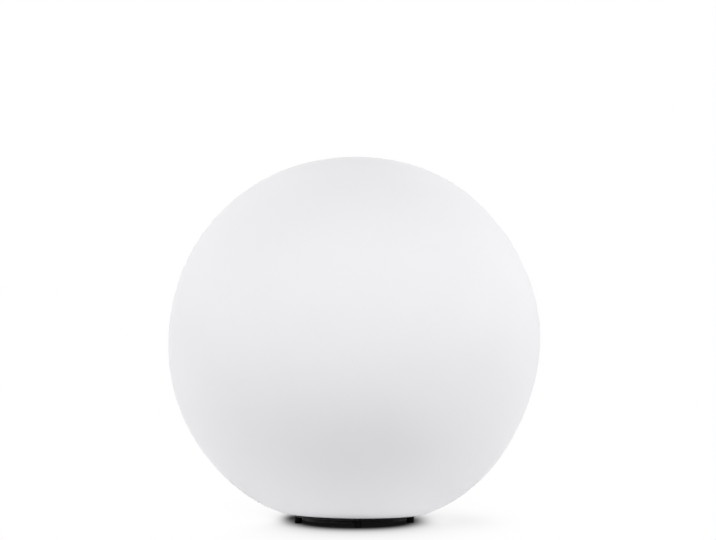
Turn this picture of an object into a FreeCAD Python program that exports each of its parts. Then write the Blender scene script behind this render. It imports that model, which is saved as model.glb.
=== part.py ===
import FreeCAD, Part
import math
import os

import Sketcher

"""Garden globe light, 400 mm across, as a parametric assembly in millimetres.

A hollow white plastic globe with a flattened underside locks by a bayonet neck on a black base. The
base is an inverted cup in three pieces: a housing with a skirt and a flange under the globe and a spigot
that stands up inside the globe's neck, a deck on a ledge in the spigot that carries the lampholder's
bracket, the terminal block and the cable gland, and a closed tube under the deck that takes a ground
spike. Four rubber feet under the flange lift everything clear of the ground. An LED bulb screws into the
lampholder. +Z is up, the origin is on the ground under the globe's centre, and the front is towards -Y.
"""

# Driving dimensions: name, value in millimetres (angles in degrees, counts as plain numbers).
SIZES = {
    # globe
    "globe_radius": 200.0,
    "globe_height": 194.9,      # sphere's centre above the ground
    "globe_wall": 3.6,
    "globe_floor": 10.6,        # underside of the flat above the ground
    "rim_round": 32.0,          # round between the flat and the sphere
    "neck_radius": 47.6,        # bore of the neck that stands up inside the globe
    "neck_wall": 3.6,
    "neck_top": 31.0,
    "mouth_round": 1.2,         # round between the flat and the neck's bore
    # bayonet lugs
    "lug_lead": 14.0,           # rise for one full turn
    "lug_share": 50.0 / 360.0,  # share of a turn that one lug covers
    "lug_depth": 2.2,
    "lug_root": 4.0,
    "lug_crest": 2.4,
    "lug_step": 3.2,            # base lug's centre above the globe lug's centre
    "lug_height": 20.4,         # globe lug's centre above the ground, at its low end
    "lug_count": 3.0,
    "stop_start": -5.0,         # the end stop's two sides, in degrees from its lug's start
    "stop_end": -0.6,
    # base housing
    "base_floor": 4.0,          # lower edge of the skirt above the ground
    "skirt_radius": 55.8,
    "skirt_wall": 2.8,
    "flange_radius": 64.6,
    "flange_floor": 8.1,
    "flange_top": 9.6,
    "spigot_radius": 44.8,
    "spigot_wall": 2.6,
    "deck_floor": 31.5,
    "deck_top": 34.0,
    "edge_round": 0.4,
    "spigot_lead": 1.2,         # chamfer that leads the globe's neck on
    "spigot_floor": 4.5,        # lower edge of the spigot's wall
    "rib_wall": 2.0,
    "rib_floor": 24.0,
    "deck_radius": 43.0,        # the deck drops onto a ledge inside the spigot
    "deck_collar_wall": 2.0,    # collar under the deck that holds the spike socket
    "skirt_rib_wall": 1.6,
    "skirt_rib_count": 8.0,
    "boss_radius": 4.0,
    "boss_floor": 21.0,
    "boss_offset": 27.0,        # screw bosses from the centre line
    "pilot_radius": 1.45,
    "pilot_depth": 11.0,
    # socket for a ground spike, in the middle of the base
    "socket_radius": 6.0,
    "socket_wall": 3.0,
    "socket_floor": 5.5,
    "socket_depth": 20.5,
    # feet
    "foot_ring": 60.2,
    "foot_radius": 4.1,
    "foot_base_radius": 3.9,
    "foot_tread_round": 0.4,
    "foot_taper_top": 1.6,
    "foot_turn": 3.6,           # the four feet stand this far round from the front, right, back and left
    "foot_pin_radius": 2.0,
    "foot_pin_floor": 2.4,
    "foot_count": 4.0,
    # gasket between globe and base
    "gasket_inner": 48.4,
    "gasket_outer": 62.0,
    # cable gland
    "gland_offset": 27.0,
    "gland_turn": 48.0,         # the gland and the cable's way out lie between two feet
    "gland_thread": 6.0,
    "gland_bore": 4.3,
    "gland_hex": 15.0,
    "gland_hex_floor": 27.6,
    "gland_top": 41.5,
    "gland_nut_floor": 19.0,
    "gland_seal_bore": 3.25,
    "gland_seal_radius": 4.8,
    "gland_washer": 0.9,
    "gland_sleeve_wall": 1.2,   # threaded sleeve round the seal
    "gland_nut_mouth": 3.65,    # radius of the cable's way through the dome nut
    "gland_nut_dome": 4.0,      # radius of the dome's curve
    "gland_nut_shoulder": 3.2,  # height of the dome
    "gland_nut_recess": 1.5,    # seal's nose above the dome nut's mouth
    "gland_nut_lip": 1.2,       # flat round the dome nut's mouth
    "gland_nut_edge": 0.3,      # the dome ends this far inside the hexagon's flats
    "gland_nut_gap": 0.4,       # between the dome nut and the body's hexagon
    "gland_sleeve_gap": 0.3,    # between the threaded sleeve's end and the dome nut's shoulder
    "gland_seal_chamfer": 0.8,
    "gland_seal_nose": 1.6,     # height of the chamfer on the seal's nose
    "gland_washer_margin": 0.2,
    "locknut_thickness": 4.5,
    "cable_notch": 8.0,
    # lampholder bracket
    "bracket_top": 92.0,
    "bracket_sheet": 2.0,
    "bracket_span": 20.0,       # half the width between the legs' outer faces
    "bracket_reach": 33.0,      # half the width over the feet
    "bracket_width": 20.0,
    "bracket_bend": 3.5,
    # threaded nipple, washer and nut
    "nipple_radius": 4.9,
    "nipple_bore": 3.9,
    "nipple_floor": 84.0,
    "nipple_top": 100.5,
    "nipple_hex": 14.0,
    "nipple_nut": 3.0,
    "nipple_washer": 0.8,
    "nipple_washer_radius": 9.0,
    # lampholder
    "holder_rim": 144.0,
    "holder_joint": 116.0,
    "holder_radius": 20.0,
    "holder_wall": 2.0,
    "cup_foot_radius": 10.0,
    "cup_side_start": 12.0,     # height above the bracket where the cup's side goes straight up
    "cup_curve": 9.0,
    "cup_floor": 3.0,
    "cup_side_rise": 5.0,       # height of the bend between the cup's cone and its side
    "cup_well": 4.5,            # height of the slope round the cup's floor
    "cup_hub_groove": 1.5,
    "hub_radius": 7.5,
    "hub_height": 9.0,
    "skirt_ring_radius": 22.0,
    "ring_overlap": 8.0,        # how far the ring reaches down over the cup
    "grip_rib_width": 1.4,
    "grip_rib_depth": 0.6,
    "grip_rib_count": 24.0,
    "grip_rib_start": 2.0,      # ribs start this far above the ring's lower edge
    "grip_rib_end": 4.0,        # and stop this far below its rim
    "ring_rim_round": 1.0,
    "ring_gap": 0.3,            # between the ring's step and the cup
    "ring_core_gap": 0.7,
    "core_floor": 107.0,
    "core_top": 114.0,
    "core_radius": 16.5,
    "core_seat": 2.0,           # depth of the seat for the threaded sleeve
    "core_well": 3.4,           # depth of the well for the contact tongue
    "core_well_radius": 9.0,
    "tongue_strip": 0.5,
    "tongue_foot_end": 8.0,     # places along the contact tongue, from the middle
    "tongue_foot_bend": 5.0,
    "tongue_tip_bend": 2.2,
    "tongue_tip_end": 2.5,
    "tongue_bend_shift": 0.3,   # the upper face bends this much nearer the foot
    "tongue_width": 5.0,
    "sleeve_radius": 13.6,
    "sleeve_wall": 0.6,
    "sleeve_top": 139.0,
    # Edison screw, 27 mm
    "screw_pitch": 3.629,
    "cap_root": 12.1,
    "cap_crest": 13.1,
    "sleeve_crest": 12.6,
    "thread_width": 1.5,
    "thread_root": 0.2,         # how deep a thread's root runs into its wall
    "thread_crest_share": 0.4,  # width of the crest, as a share of the thread's width
    "thread_start": 1.8,        # height of the cap thread's start above its lower edge
    "cap_turns": 4.0,
    "sleeve_turns": 4.0,
    # bulb
    "tip_floor": 116.6,
    "tip_height": 1.6,
    "tip_radius": 4.2,
    "tip_flat": 1.6,            # the flat is this much smaller in radius than the tip
    "tip_round": 2.0,
    "insulator_lip": 0.8,       # the insulator's edges: beyond the tip, and up its side
    "insulator_inset": 1.4,     # from the cap's thread root
    "insulator_top": 121.5,
    "cap_wall": 0.5,
    "cap_lip": 1.2,             # lip turned in round the insulator
    "cap_lip_wall": 0.6,
    "cap_round": 1.0,
    "cap_top": 143.0,
    "neck_bulb_radius": 14.6,
    "shoulder": 148.2,
    "bulb_radius": 30.0,
    "bulb_waist": 176.0,        # where the housing is widest
    "bulb_centre": 190.0,
    "bulb_wall": 1.6,
    "cone_foot_step": 3.0,      # the cone starts this far outside the bulb's neck
    "cone_foot_rise": 1.4,
    "cone_bow": 90.0,           # radius of the cone's curve
    "cone_wall": 2.2,
    "cone_inside_rise": 3.0,
    "cap_overlap": 1.6,         # how far the housing reaches down over the cap
    "dome_seat": 5.0,           # the dome's seat, the board's shelf and its lower side, from the waist
    "shelf_top": 2.0,
    "shelf_floor": -1.0,
    "shelf_width": 3.0,
    "dome_gap": 0.1,
    "board_gap": 0.2,           # between the board and the dome's collar
    "wire_hole": 2.5,
    "board_radius": 27.6,
    "board_thickness": 1.6,
    "led_ring": 18.0,
    "led_size": 3.0,
    "led_height": 0.7,
    "led_count": 12.0,
    "driver_width": 18.0,
    "driver_floor": 127.0,
    "driver_top": 171.0,
    "driver_thickness": 1.6,
    "capacitor_radius": 4.0,
    "capacitor_height": 11.6,
    "capacitor_round": 0.6,
    "capacitor_lift": 5.0,      # above the board's lower edge
    "coil_width": 10.0,
    "coil_depth": 7.0,
    "coil_height": 12.0,
    "coil_flange": 3.0,
    "coil_inset": 0.2,          # winding inside the flanges
    "coil_drop": 18.0,          # coil's foot below the board's upper edge
    # seal between bulb and lampholder
    "seal_outer": 20.4,
    "seal_thickness": 3.4,
    "seal_gap": 0.25,
    # terminal block
    "block_width": 26.0,
    "block_depth": 15.0,
    "block_step": 5.0,
    "block_height": 13.0,
    "tower_width": 9.0,
    "tower_offset": 8.2,
    "tube_radius": 2.6,
    "tube_bore": 1.6,
    "tube_height": 40.0,
    "clamp_screw_radius": 1.5,
    "clamp_screw_offset": 4.0,
    "clamp_screw_sink": 1.0,    # clamping screws below the towers' tops
    "clamp_screw_bite": 1.0,    # their lower ends above the tubes' centre lines
    "clamp_slot_depth": 0.9,
    "clamp_slot_width": 0.5,
    "clamp_well_gap": 0.4,
    "tube_hole_rise": 0.5,
    "tube_inset": 1.0,          # tubes shorter than the towers are deep
    # tapping screws
    "screw_head": 3.4,
    "screw_head_height": 2.2,
    "screw_length": 10.0,
    "screw_point": 1.2,
    "screw_side_share": 0.45,   # height of the head's straight side, as a share of the head's height
    "screw_crown": 3.0,         # radius of the head's curve
    "screw_crown_share": 0.55,  # radius of the head's flat, as a share of the head's radius
    "screw_arm_share": 0.5,     # length of the recess's arms, as a share of the head's radius
    "screw_hole_gap": 0.25,
    "screw_slot": 0.9,
    "screw_recess": 1.3,
    # internal leads
    "lead_radius": 1.0,
    "lead_spread": 1.6,         # each lead from the centre line, inside the nipple
    "lead_bend": 2.5,
    "lead_rise_bend": 6.0,      # bend from level to upright under the nipple
    "lead_run": 103.0,          # height of the lower lead's run under the core
    "lead_step": 2.3,           # the other lead's run crosses this far above it
    "lead_hole_reach": 11.0,
    "lead_top": 111.4,
    "lead_bite": 1.5,           # how far a lead runs into its tube
}

BUILD_FOLDER = "parts"
ROOT_THREE = math.sqrt(3.0)
OVERLAP = 0.4    # how far an added rib, lug or pin runs into the wall that carries it
BEYOND = 1.0     # how far a cut runs past the faces that it goes through
RUNNING = 0.05   # radial clearance between a thread and its nut
LOOSE = 0.1      # radial clearance of a plain hole

doc = FreeCAD.newDocument("GardenGlobeLight")


class Cell:
    """A number that remembers the spreadsheet formula it came from, so that arithmetic stays bound."""

    def __init__(self, value, formula=None):
        self.value = float(value)
        self.formula = repr(float(value)) if formula is None else formula

    def __add__(self, other):
        other = cell(other)
        return Cell(self.value + other.value, f"({self.formula} + {other.formula})")

    def __sub__(self, other):
        other = cell(other)
        return Cell(self.value - other.value, f"({self.formula} - {other.formula})")

    def __mul__(self, other):
        other = cell(other)
        return Cell(self.value * other.value, f"({self.formula} * {other.formula})")

    def __truediv__(self, other):
        other = cell(other)
        return Cell(self.value / other.value, f"({self.formula} / {other.formula})")

    def __neg__(self):
        return Cell(-self.value, f"(0 - {self.formula})")

    def __radd__(self, other):
        return cell(other) + self

    def __rsub__(self, other):
        return cell(other) - self

    def __rmul__(self, other):
        return cell(other) * self


def cell(number):
    """A plain number or a Cell, as a Cell."""
    return number if isinstance(number, Cell) else Cell(number)


def root(number):
    """Square root that keeps its formula."""
    number = cell(number)
    return Cell(math.sqrt(number.value), f"sqrt({number.formula})")


def cosine(degrees):
    """Cosine of an angle in degrees that keeps its formula."""
    degrees = cell(degrees)
    return Cell(math.cos(math.radians(degrees.value)), f"cos({degrees.formula})")


def sine(degrees):
    """Sine of an angle in degrees that keeps its formula."""
    degrees = cell(degrees)
    return Cell(math.sin(math.radians(degrees.value)), f"sin({degrees.formula})")


def arctangent(up, across):
    """Angle in degrees of the direction (across, up), for up above zero, that keeps its formula."""
    up, across = cell(up), cell(across)
    degrees = math.degrees(math.atan2(up.value, across.value))
    return Cell(degrees, f"(90 - atan({across.formula} / {up.formula}) / 1 deg)")


class SizeSheet:
    """The document's spreadsheet of driving dimensions; each is read as an attribute."""

    def __init__(self, sizes):
        sheet = doc.addObject("Spreadsheet::Sheet", "Sizes")
        for row, (name, value) in enumerate(sizes.items(), start=1):
            sheet.set(f"A{row}", name)
            sheet.set(f"B{row}", repr(float(value)))
            sheet.setAlias(f"B{row}", name)
        doc.recompute()
        self.known = sizes

    def __getattr__(self, name):
        return Cell(self.known[name], f"Sizes.{name}")


size = SizeSheet(SIZES)


# ---------------------------------------------------------------- sketches


class Bend:
    """The stretch from one corner to the next is an arc: turn is 1 to curve left, -1 to curve right."""

    def __init__(self, radius, turn):
        self.radius = cell(radius)
        self.turn = turn


def plane_of(body, role):
    """One of a body's own origin planes or axes, by its role."""
    return next(f for f in body.Origin.OriginFeatures if f.Role == role)


def new_sketch(body, name, role, lift=0.0):
    """A sketch on one of the body's origin planes, lifted along that plane's normal."""
    sketch = body.newObject("Sketcher::SketchObject", name)
    sketch.AttachmentSupport = [(plane_of(body, role), "")]
    sketch.MapMode = "FlatFace"
    lift = cell(lift)
    sketch.AttachmentOffset = FreeCAD.Placement(FreeCAD.Vector(0, 0, lift.value), FreeCAD.Rotation())
    sketch.setExpression("AttachmentOffset.Base.z", lift.formula)
    return sketch


def arc_between(start, end, bend):
    """The minor arc from start to end, and which of its ends, 1 or 2, lies at start and at end."""
    chord = end - start
    middle = (start + end) * 0.5
    left = FreeCAD.Vector(-chord.y, chord.x, 0) * (1.0 / chord.Length)
    rise = math.sqrt(max(bend.radius.value**2 - chord.Length**2 / 4.0, 0.0))
    centre = middle + left * (rise * bend.turn)
    first, last = (start, end) if bend.turn > 0 else (end, start)
    angles = [math.atan2(p.y - centre.y, p.x - centre.x) for p in (first, last)]
    if angles[1] < angles[0]:
        angles[1] += 2.0 * math.pi
    circle = Part.Circle(centre, FreeCAD.Vector(0, 0, 1), bend.radius.value)
    ends = (1, 2) if bend.turn > 0 else (2, 1)
    return Part.ArcOfCircle(circle, *angles), ends


def bind_point(sketch, geometry, end, across, up):
    """Holds a point of the sketch at two dimensions measured from the sketch's origin."""
    for kind, axis, number in (("DistanceX", -2, cell(across)), ("DistanceY", -1, cell(up))):
        if number.value == 0.0:
            sketch.addConstraint(Sketcher.Constraint("PointOnObject", geometry, end, axis))
            continue
        index = sketch.addConstraint(Sketcher.Constraint(kind, -1, 1, geometry, end, number.value))
        sketch.setExpression(f"Constraints[{index}]", number.formula)


def draw_path(sketch, corners, closed=False):
    """Lines and arcs from corner to corner. A corner is (across, up), or (across, up, Bend) to curve on."""
    points = [FreeCAD.Vector(cell(c[0]).value, cell(c[1]).value, 0) for c in corners]
    count = len(corners) if closed else len(corners) - 1
    shapes, ends = [], []
    for i in range(count):
        start, end = points[i], points[(i + 1) % len(corners)]
        if len(corners[i]) == 3:
            shape, which = arc_between(start, end, corners[i][2])
        else:
            shape, which = Part.LineSegment(start, end), (1, 2)
        shapes.append(shape)
        ends.append(which)
    first = sketch.GeometryCount
    sketch.addGeometry(shapes, False)
    for i in range(count if closed else count - 1):
        after = (i + 1) % count
        pair = (first + i, ends[i][1], first + after, ends[after][0])
        sketch.addConstraint(Sketcher.Constraint("Coincident", *pair))
    for i in range(count):
        if len(corners[i]) == 3:
            radius = corners[i][2].radius
            rule = sketch.addConstraint(Sketcher.Constraint("Radius", first + i, radius.value))
            sketch.setExpression(f"Constraints[{rule}]", radius.formula)
        bind_point(sketch, first + i, ends[i][0], corners[i][0], corners[i][1])
    if not closed:
        bind_point(sketch, first + count - 1, ends[-1][1], corners[-1][0], corners[-1][1])


def draw_outline(sketch, corners):
    """A closed outline through the corners."""
    draw_path(sketch, corners, closed=True)


def draw_circle(sketch, across, up, radius):
    """A full circle held at its centre and radius."""
    across, up, radius = cell(across), cell(up), cell(radius)
    centre = FreeCAD.Vector(across.value, up.value, 0)
    index = sketch.addGeometry(Part.Circle(centre, FreeCAD.Vector(0, 0, 1), radius.value), False)
    bind_point(sketch, index, 3, across, up)
    rule = sketch.addConstraint(Sketcher.Constraint("Radius", index, radius.value))
    sketch.setExpression(f"Constraints[{rule}]", radius.formula)


def rectangle(left, front, right, back):
    """Corners of a rectangle, from its left front corner."""
    return [(left, front), (right, front), (right, back), (left, back)]


def turned(corners, degrees):
    """The same corners turned about the origin."""
    along, across = cosine(degrees), sine(degrees)
    return [(along * x - across * y, across * x + along * y) for x, y in corners]


def hexagon(across_flats):
    """Corners of a hexagon about the origin, with two flats facing left and right."""
    corner = cell(across_flats) / ROOT_THREE
    turns = [30.0 + 60.0 * k for k in range(6)]
    return [(corner * math.cos(math.radians(t)), corner * math.sin(math.radians(t))) for t in turns]


# ---------------------------------------------------------------- solid features


def new_body(label):
    """An empty body whose label names its file."""
    body = doc.addObject("PartDesign::Body", label)
    body.Label = label
    return body


def set_size(feature, name, number):
    """Sets a feature's property and binds it to the sheet."""
    number = cell(number)
    setattr(feature, name, number.value)
    feature.setExpression(name, number.formula)


def revolve(body, name, corners):
    """Turns an outline given as (radius, height) about the vertical axis."""
    sketch = new_sketch(body, name + "Outline", "XZ_Plane")
    draw_outline(sketch, corners)
    feature = body.newObject("PartDesign::Revolution", name)
    feature.Profile = sketch
    feature.ReferenceAxis = (sketch, ["V_Axis"])
    feature.Angle = 360.0
    return feature


def pad(body, name, outlines, floor, top, circles=()):
    """Adds upright prisms between two heights from outlines and circles seen from above."""
    sketch = new_sketch(body, name + "Outline", "XY_Plane", floor)
    for corners in outlines:
        draw_outline(sketch, corners)
    for circle in circles:
        draw_circle(sketch, *circle)
    feature = body.newObject("PartDesign::Pad", name)
    feature.Profile = sketch
    set_size(feature, "Length", cell(top) - floor)
    return feature


def pocket(body, name, outlines, floor, top, circles=()):
    """Cuts upright holes between two heights, downwards from the upper one."""
    sketch = new_sketch(body, name + "Outline", "XY_Plane", top)
    for corners in outlines:
        draw_outline(sketch, corners)
    for circle in circles:
        draw_circle(sketch, *circle)
    feature = body.newObject("PartDesign::Pocket", name)
    feature.Profile = sketch
    set_size(feature, "Length", cell(top) - floor)
    return feature


def cross(body, name, kind, outlines, length, circles=()):
    """Adds or cuts level prisms along Y, centred on the XZ plane, from outlines seen from the front."""
    sketch = new_sketch(body, name + "Outline", "XZ_Plane")
    for corners in outlines:
        draw_outline(sketch, corners)
    for circle in circles:
        draw_circle(sketch, *circle)
    feature = body.newObject("PartDesign::" + kind, name)
    feature.Profile = sketch
    feature.Midplane = True
    set_size(feature, "Length", length)
    return feature


def helix(body, name, corners, pitch, turns):
    """Adds a right-handed thread or lug that climbs about the vertical axis from the XZ plane."""
    sketch = new_sketch(body, name + "Outline", "XZ_Plane")
    draw_outline(sketch, corners)
    feature = body.newObject("PartDesign::AdditiveHelix", name)
    feature.Profile = sketch
    feature.ReferenceAxis = (sketch, ["V_Axis"])
    feature.Mode = "pitch-turns-angle"
    set_size(feature, "Pitch", pitch)
    set_size(feature, "Turns", turns)
    feature.Angle = 0.0
    return feature


def around(body, name, features, count):
    """Repeats features evenly round the vertical axis and makes the result the body's tip."""
    feature = body.newObject("PartDesign::PolarPattern", name)
    feature.Originals = features
    feature.Axis = (plane_of(body, "Z_Axis"), [""])
    feature.Angle = 360.0
    number = cell(count)
    feature.Occurrences = int(number.value)
    feature.setExpression("Occurrences", number.formula)
    body.Tip = feature
    return feature


def ring_edges(feature, radius, height):
    """Names of the feature's full circular edges of one radius at one height."""
    doc.recompute()
    found = []
    for number, edge in enumerate(feature.Shape.Edges, start=1):
        if edge.Degenerated or not isinstance(edge.Curve, Part.Circle):
            continue
        curve = edge.Curve
        near = abs(curve.Radius - radius.value) < 0.01 and abs(curve.Center.z - height.value) < 0.01
        if near and abs(curve.Center.x) < 0.01 and abs(curve.Center.y) < 0.01:
            found.append(f"Edge{number}")
    if not found:
        raise ValueError(f"{feature.Name} has no ring of radius {radius.value} at {height.value}")
    return found


def soften(body, name, kind, rings, amount):
    """Fillets or chamfers circular edges, each given as (radius, height)."""
    base = body.Tip
    edges = []
    for radius, height in rings:
        edges += ring_edges(base, cell(radius), cell(height))
    feature = body.newObject("PartDesign::" + kind, name)
    feature.Base = (base, edges)
    set_size(feature, "Radius" if kind == "Fillet" else "Size", amount)
    return feature


def place(shape, x=0.0, y=0.0, z=0.0):
    """Moves a finished sub-part, bound to the sheet."""
    x, y, z = cell(x), cell(y), cell(z)
    shape.Placement = FreeCAD.Placement(FreeCAD.Vector(x.value, y.value, z.value), FreeCAD.Rotation())
    for axis, number in (("x", x), ("y", y), ("z", z)):
        shape.setExpression(f"Placement.Base.{axis}", number.formula)
    return shape


def group(label, members):
    """Several separate solids under one label."""
    compound = doc.addObject("Part::Compound", label)
    compound.Label = label
    compound.Links = members
    return compound


def ring(label, inner, outer, floor, top):
    """A plain ring of rectangular section."""
    body = new_body(label)
    revolve(body, "Ring", [(inner, floor), (outer, floor), (outer, top), (inner, top)])
    return body


# ---------------------------------------------------------------- globe


def rim_centre_radius():
    """Distance of the rim round's centre from the axis, where it touches the flat and the sphere."""
    drop = size.globe_height - size.globe_floor - size.rim_round
    reach = size.globe_radius - size.rim_round
    return root(reach * reach - drop * drop)


def sphere_touch(radius):
    """Where a sphere of that radius about the globe's centre passes into the rim round."""
    reach = size.globe_radius - size.rim_round
    across = rim_centre_radius() * radius / reach
    drop = (size.globe_height - size.globe_floor - size.rim_round) * radius / reach
    return across, size.globe_height - drop


def lug_outline(wall, inwards, centre_height):
    """Section of one bayonet lug: a trapezium that stands off a wall, inwards (-1) or outwards (1)."""
    root_side = wall - OVERLAP * inwards
    crest_side = wall + size.lug_depth * inwards
    half_root, half_crest = size.lug_root / 2, size.lug_crest / 2
    corners = [
        (root_side, centre_height - half_root),
        (crest_side, centre_height - half_crest),
        (crest_side, centre_height + half_crest),
        (root_side, centre_height + half_root),
    ]
    return corners if inwards > 0 else corners[::-1]


def make_globe_shell():
    """The hollow globe: sphere, rounded rim, flat underside and the neck that stands up inside it."""
    body = new_body("globe_shell")
    inner_radius = size.globe_radius - size.globe_wall
    neck_outer = size.neck_radius + size.neck_wall
    inside_floor = size.globe_floor + size.globe_wall
    rim = rim_centre_radius()
    outer_touch = sphere_touch(size.globe_radius)
    inner_touch = sphere_touch(inner_radius)
    revolve(body, "Shell", [
        (size.neck_radius, size.globe_floor),
        (rim, size.globe_floor, Bend(size.rim_round, 1)),
        (*outer_touch, Bend(size.globe_radius, 1)),
        (0.0, size.globe_height + size.globe_radius),
        (0.0, size.globe_height + inner_radius, Bend(inner_radius, -1)),
        (*inner_touch, Bend(size.rim_round - size.globe_wall, -1)),
        (rim, inside_floor),
        (neck_outer, inside_floor),
        (neck_outer, size.neck_top),
        (size.neck_radius, size.neck_top),
    ])
    soften(body, "MouthRound", "Fillet", [(size.neck_radius, size.globe_floor)], size.mouth_round)
    lug = helix(body, "Lug", lug_outline(size.neck_radius, -1, size.lug_height),
                size.lug_lead, size.lug_share)
    around(body, "Lugs", [lug], size.lug_count)
    return body


def make_globe_gasket():
    """Flat sealing ring that the globe's underside presses on the flange."""
    return ring("globe_gasket", size.gasket_inner, size.gasket_outer, size.flange_top, size.globe_floor)


# ---------------------------------------------------------------- base


def polar(radius, degrees):
    """A point seen from above at a radius and an angle."""
    return radius * cosine(degrees), radius * sine(degrees)


def add_base_lugs(body):
    """Three ramped lugs on the spigot, each with an end stop for the globe's lug below it."""
    height = size.lug_height + size.lug_step
    lug = helix(body, "Lug", lug_outline(size.spigot_radius, 1, height), size.lug_lead, size.lug_share)
    inner = size.spigot_radius - OVERLAP
    outer = size.spigot_radius + size.lug_depth
    stop_outline = [
        polar(inner, size.stop_start),
        polar(outer, size.stop_start),
        polar(outer, size.stop_end),
        polar(inner, size.stop_end),
    ]
    half_root = size.lug_root / 2
    stop = pad(body, "Stop", [stop_outline], size.lug_height - half_root, height + half_root)
    around(body, "LugsAndStops", [lug, stop], size.lug_count)


def add_skirt_ribs(body):
    """Short ribs between the spigot's wall and the skirt."""
    half_thin = size.skirt_rib_wall / 2
    thin = pad(body, "SkirtRib", [
        rectangle(size.spigot_radius - OVERLAP, -half_thin,
                  size.skirt_radius - size.skirt_wall + OVERLAP, half_thin),
    ], size.spigot_floor, size.flange_floor + OVERLAP)
    around(body, "SkirtRibs", [thin], size.skirt_rib_count)


def add_deck_ribs(body):
    """Ribs under the deck from its collar outwards, clear of the cable at the back."""
    half = size.rib_wall / 2
    inner = size.socket_radius + size.socket_wall + size.deck_collar_wall - OVERLAP
    outer = size.spigot_radius - size.spigot_wall - RUNNING
    pad(body, "CrossRibs", [
        rectangle(inner, -half, outer, half),
        rectangle(-outer, -half, -inner, half),
        rectangle(-half, -outer, half, -inner),
    ], size.rib_floor, size.deck_floor + OVERLAP)


def add_deck_bosses(body):
    """Screw bosses under the deck for the bracket and the terminal block, with pilot holes."""
    spots = [(size.boss_offset, 0.0), (-size.boss_offset, 0.0), (0.0, -size.boss_offset)]
    pad(body, "Bosses", [], size.boss_floor, size.deck_floor + OVERLAP,
        [(x, y, size.boss_radius) for x, y in spots])
    pocket(body, "Pilots", [], size.deck_top - size.pilot_depth, size.deck_top,
           [(x, y, size.pilot_radius) for x, y in spots])


def make_base_housing():
    """The black moulded base: skirt, flange, spigot with bayonet lugs and a ledge inside, and foot pins."""
    body = new_body("base_housing")
    skirt_inner = size.skirt_radius - size.skirt_wall
    spigot_inner = size.spigot_radius - size.spigot_wall
    revolve(body, "Housing", [
        (skirt_inner, size.base_floor),
        (size.skirt_radius, size.base_floor),
        (size.skirt_radius, size.flange_floor),
        (size.flange_radius, size.flange_floor),
        (size.flange_radius, size.flange_top),
        (size.spigot_radius, size.flange_top),
        (size.spigot_radius, size.deck_top),
        (size.deck_radius, size.deck_top),
        (size.deck_radius, size.deck_floor),
        (spigot_inner, size.deck_floor),
        (spigot_inner, size.spigot_floor),
        (size.spigot_radius, size.spigot_floor),
        (size.spigot_radius, size.flange_floor),
        (skirt_inner, size.flange_floor),
    ])
    soften(body, "EdgeRounds", "Fillet", [
        (size.flange_radius, size.flange_floor),
        (size.flange_radius, size.flange_top),
        (size.skirt_radius, size.base_floor),
    ], size.edge_round)
    soften(body, "SpigotLead", "Chamfer", [(size.spigot_radius, size.deck_top)], size.spigot_lead)
    add_skirt_ribs(body)
    pin_spot = (size.foot_ring * cosine(size.foot_turn), size.foot_ring * sine(size.foot_turn))
    pin = pad(body, "FootPin", [], size.foot_pin_floor, size.flange_floor + OVERLAP,
              [(*pin_spot, size.foot_pin_radius)])
    around(body, "FootPins", [pin], size.foot_count)
    add_base_lugs(body)
    half_notch = size.cable_notch / 2
    notch = rectangle(spigot_inner - BEYOND, -half_notch, size.skirt_radius + BEYOND, half_notch)
    notch = turned(notch, size.gland_turn)
    pocket(body, "CableNotch", [notch], size.base_floor - BEYOND, size.flange_floor)
    return body


def make_base_deck():
    """The deck that closes the spigot and carries the lampholder: disc, collar, ribs and screw bosses."""
    body = new_body("base_deck")
    collar_inner = size.socket_radius + size.socket_wall
    collar_outer = collar_inner + size.deck_collar_wall
    revolve(body, "Deck", [
        (collar_inner, size.rib_floor),
        (collar_outer, size.rib_floor),
        (collar_outer, size.deck_floor),
        (size.deck_radius, size.deck_floor),
        (size.deck_radius, size.deck_top),
        (0.0, size.deck_top),
        (0.0, size.deck_floor),
        (collar_inner, size.deck_floor),
    ])
    add_deck_ribs(body)
    add_deck_bosses(body)
    pocket(body, "GlandHole", [], size.deck_floor - BEYOND, size.deck_top,
           [(*polar(size.gland_offset, size.gland_turn), size.gland_thread + LOOSE)])
    return body


def make_socket_tube():
    """Closed tube in the deck's collar that takes the end of a ground spike."""
    body = new_body("socket_tube")
    outer = size.socket_radius + size.socket_wall
    roof = size.socket_floor + size.socket_depth
    revolve(body, "Tube", [
        (size.socket_radius, size.socket_floor),
        (outer, size.socket_floor),
        (outer, size.deck_floor),
        (0.0, size.deck_floor),
        (0.0, roof),
        (size.socket_radius, roof),
    ])
    return body


def make_foot(label, quarter):
    """One rubber foot, pushed over its pin under the flange; quarter counts turns of 90 degrees."""
    body = new_body(label)
    revolve(body, "Foot", [
        (0.0, 0.0),
        (size.foot_base_radius - size.foot_tread_round, 0.0, Bend(size.foot_tread_round, 1)),
        (size.foot_base_radius, size.foot_tread_round),
        (size.foot_radius, size.foot_taper_top),
        (size.foot_radius, size.flange_floor),
        (size.foot_pin_radius, size.flange_floor),
        (size.foot_pin_radius, size.foot_pin_floor),
        (0.0, size.foot_pin_floor),
    ])
    angle = size.foot_turn + 90.0 * quarter
    return place(body, size.foot_ring * cosine(angle), size.foot_ring * sine(angle))


# ---------------------------------------------------------------- cable gland


def place_at_gland(body):
    """Moves a finished gland piece to the gland's axis."""
    return place(body, *polar(size.gland_offset, size.gland_turn))


def hex_prism(body, name, across_flats, floor, top):
    """A hexagonal prism on the vertical axis."""
    return pad(body, name, [hexagon(across_flats)], floor, top)


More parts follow.
